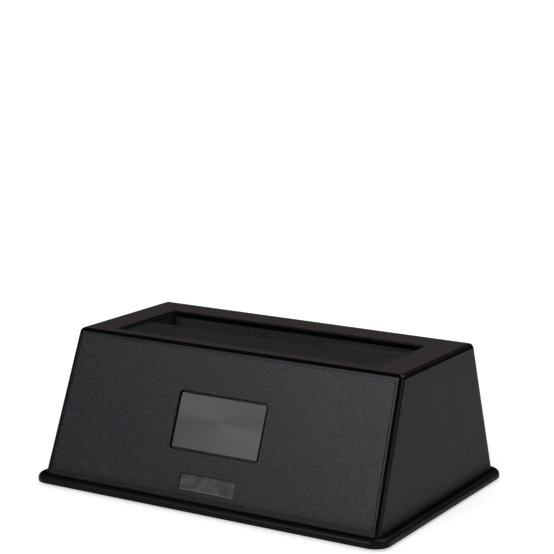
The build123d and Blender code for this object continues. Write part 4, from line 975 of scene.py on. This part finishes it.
class DOCK_OT_build_stage(bpy.types.Operator):
    """Builds the floor, the studio light and the camera"""

    bl_idname = "dock.build_stage"
    bl_label = "Build Stage"

    def execute(self, context):
        stage = context.scene.dock_stage
        self.build_floor(stage)
        self.build_world()
        self.build_lamps(stage)
        self.build_camera(stage)
        context.scene.view_settings.view_transform = "Standard"
        return {"FINISHED"}

    def build_floor(self, stage):
        made = bmesh.new()
        bmesh.ops.create_grid(made, x_segments=1, y_segments=1, size=stage.floor_size / 2)
        bmesh.ops.translate(made, verts=made.verts[:], vec=(0.0, 0.0, -FLOOR_DROP))
        data = bpy.data.meshes.new("floor")
        made.to_mesh(data)
        made.free()
        floor = place_object("floor", data)
        finish, tree, shader, where = start_material("Pale Floor")
        slow = noise(tree, where["Object"], 3.0)
        body = mottled(tree, slow, tuple(stage.floor_colour), FLOOR_SHADES)
        fill(tree, shader, {"Base Color": body, "Roughness": 0.7, "Specular IOR Level": 0.2})
        # A little white lifts the lit floor near the dock, and further off it fades to white. Only the camera
        # and reflections see that, so it lights nothing
        path = tree.nodes.new("ShaderNodeLightPath").outputs
        away = tree.nodes.new("ShaderNodeVectorMath")
        away.operation = "LENGTH"
        fill(tree, away, {0: where["Object"]})
        distance = away.outputs["Value"]
        seen = ramp(tree, distance, FADE_START, FADE_END, *CAMERA_LIFT)
        mirrored = ramp(tree, distance, FADE_START, FADE_END, *MIRROR_LIFT)
        reflection = largest(tree, path["Is Glossy Ray"], path["Is Transmission Ray"])
        direct = math_node(tree, "MULTIPLY", path["Is Camera Ray"], seen)
        bounced = math_node(tree, "MULTIPLY", reflection, mirrored)
        glow = tree.nodes.new("ShaderNodeEmission")
        fill(tree, glow, {"Strength": math_node(tree, "ADD", direct, bounced)})
        total = tree.nodes.new("ShaderNodeAddShader")
        fill(tree, total, {0: shader.outputs["BSDF"], 1: glow.outputs[0]})
        output = next(item for item in tree.nodes if item.type == "OUTPUT_MATERIAL")
        fill(tree, output, {"Surface": total.outputs[0]})
        floor.data.materials.append(finish)

    def build_world(self):
        world = bpy.data.worlds.new("Studio")
        bpy.context.scene.world = world
        world.use_nodes = True
        tree = world.node_tree
        tree.nodes.clear()
        output = tree.nodes.new("ShaderNodeOutputWorld")
        around = tree.nodes.new("ShaderNodeBackground")
        apart = split(tree, tree.nodes.new("ShaderNodeTexCoord").outputs["Generated"])
        ahead = ramp(tree, apart["Y"], *AHEAD_SPAN, 1.0, 0.0)
        low = ramp(tree, apart["Z"], *LOW_SPAN, 1.0, HIGH_SHARE)
        share = math_node(tree, "MULTIPLY", ahead, low)
        level = math_node(tree, "MULTIPLY_ADD", share, AHEAD_LEVEL, ROOM_LEVEL)
        path = tree.nodes.new("ShaderNodeLightPath").outputs
        fill(tree, around, {"Strength": largest(tree, level, path["Is Camera Ray"])})
        fill(tree, output, {"Surface": around.outputs[0]})

    def build_lamps(self, stage):
        for name, place, width, height, power, mirrored in LAMPS:
            data = bpy.data.lights.new(name, "AREA")
            data.shape = "RECTANGLE"
            data.size = width
            data.size_y = height
            data.energy = getattr(stage, power)
            lamp = place_object(name, data)
            lamp.location = place
            lamp.rotation_euler = (Vector(LAMP_TARGET) - Vector(place)).to_track_quat("-Z", "Y").to_euler()
            lamp.visible_glossy = mirrored

    def build_camera(self, stage):
        turn, rise, roll = stage.camera_turn, stage.camera_rise, stage.camera_roll
        back = Vector((sin(turn) * cos(rise), -cos(turn) * cos(rise), sin(rise)))
        right = (-back).cross(Vector((0, 0, 1))).normalized()
        up = right.cross(-back)
        tilted_right = cos(roll) * right + sin(roll) * up
        tilted_up = -sin(roll) * right + cos(roll) * up
        data = bpy.data.cameras.new("camera")
        data.sensor_width = SENSOR_WIDTH
        data.lens = stage.focal_pixels / FRAME_PIXELS * SENSOR_WIDTH
        data.clip_start = NEAR_CLIP
        camera = place_object("camera", data)
        place = Matrix.Translation(Vector(stage.camera_target) + back * stage.camera_distance)
        camera.matrix_world = place @ Matrix((tilted_right, tilted_up, back)).transposed().to_4x4()
        bpy.context.scene.camera = camera


class DOCK_PT_looks(bpy.types.Panel):
    """Lists the dock's settings and its steps"""

    bl_label = "Drive Dock"
    bl_idname = "DOCK_PT_looks"
    bl_space_type = "VIEW_3D"
    bl_region_type = "UI"
    bl_category = "Drive Dock"

    def draw(self, context):
        for settings in (context.scene.dock_finish, context.scene.dock_stage):
            box = self.layout.box()
            for key in settings.bl_rna.properties.keys():
                if key not in ("rna_type", "name"):
                    box.prop(settings, key)
        for operator in steps:
            self.layout.operator(operator.bl_idname)


steps = (
    DOCK_OT_build_stage,
    DOCK_OT_dress_case,
    DOCK_OT_dress_front,
    DOCK_OT_dress_ports,
    DOCK_OT_dress_board,
    DOCK_OT_dress_fasteners,
    DOCK_OT_make_flap_springs,
    DOCK_OT_make_switch_spring,
)
classes = (DockFinish, DockStage, *steps, DOCK_PT_looks)


def register():
    for item in classes:
        bpy.utils.register_class(item)
    bpy.types.Scene.dock_finish = bpy.props.PointerProperty(type=DockFinish)
    bpy.types.Scene.dock_stage = bpy.props.PointerProperty(type=DockStage)


def unregister():
    del bpy.types.Scene.dock_stage
    del bpy.types.Scene.dock_finish
    for item in reversed(classes):
        bpy.utils.unregister_class(item)


def main():
    register()
    build_groups()
    for operator in steps:
        group, name = operator.bl_idname.split(".")
        getattr(getattr(bpy.ops, group), name)()


if __name__ == "__main__":
    main()
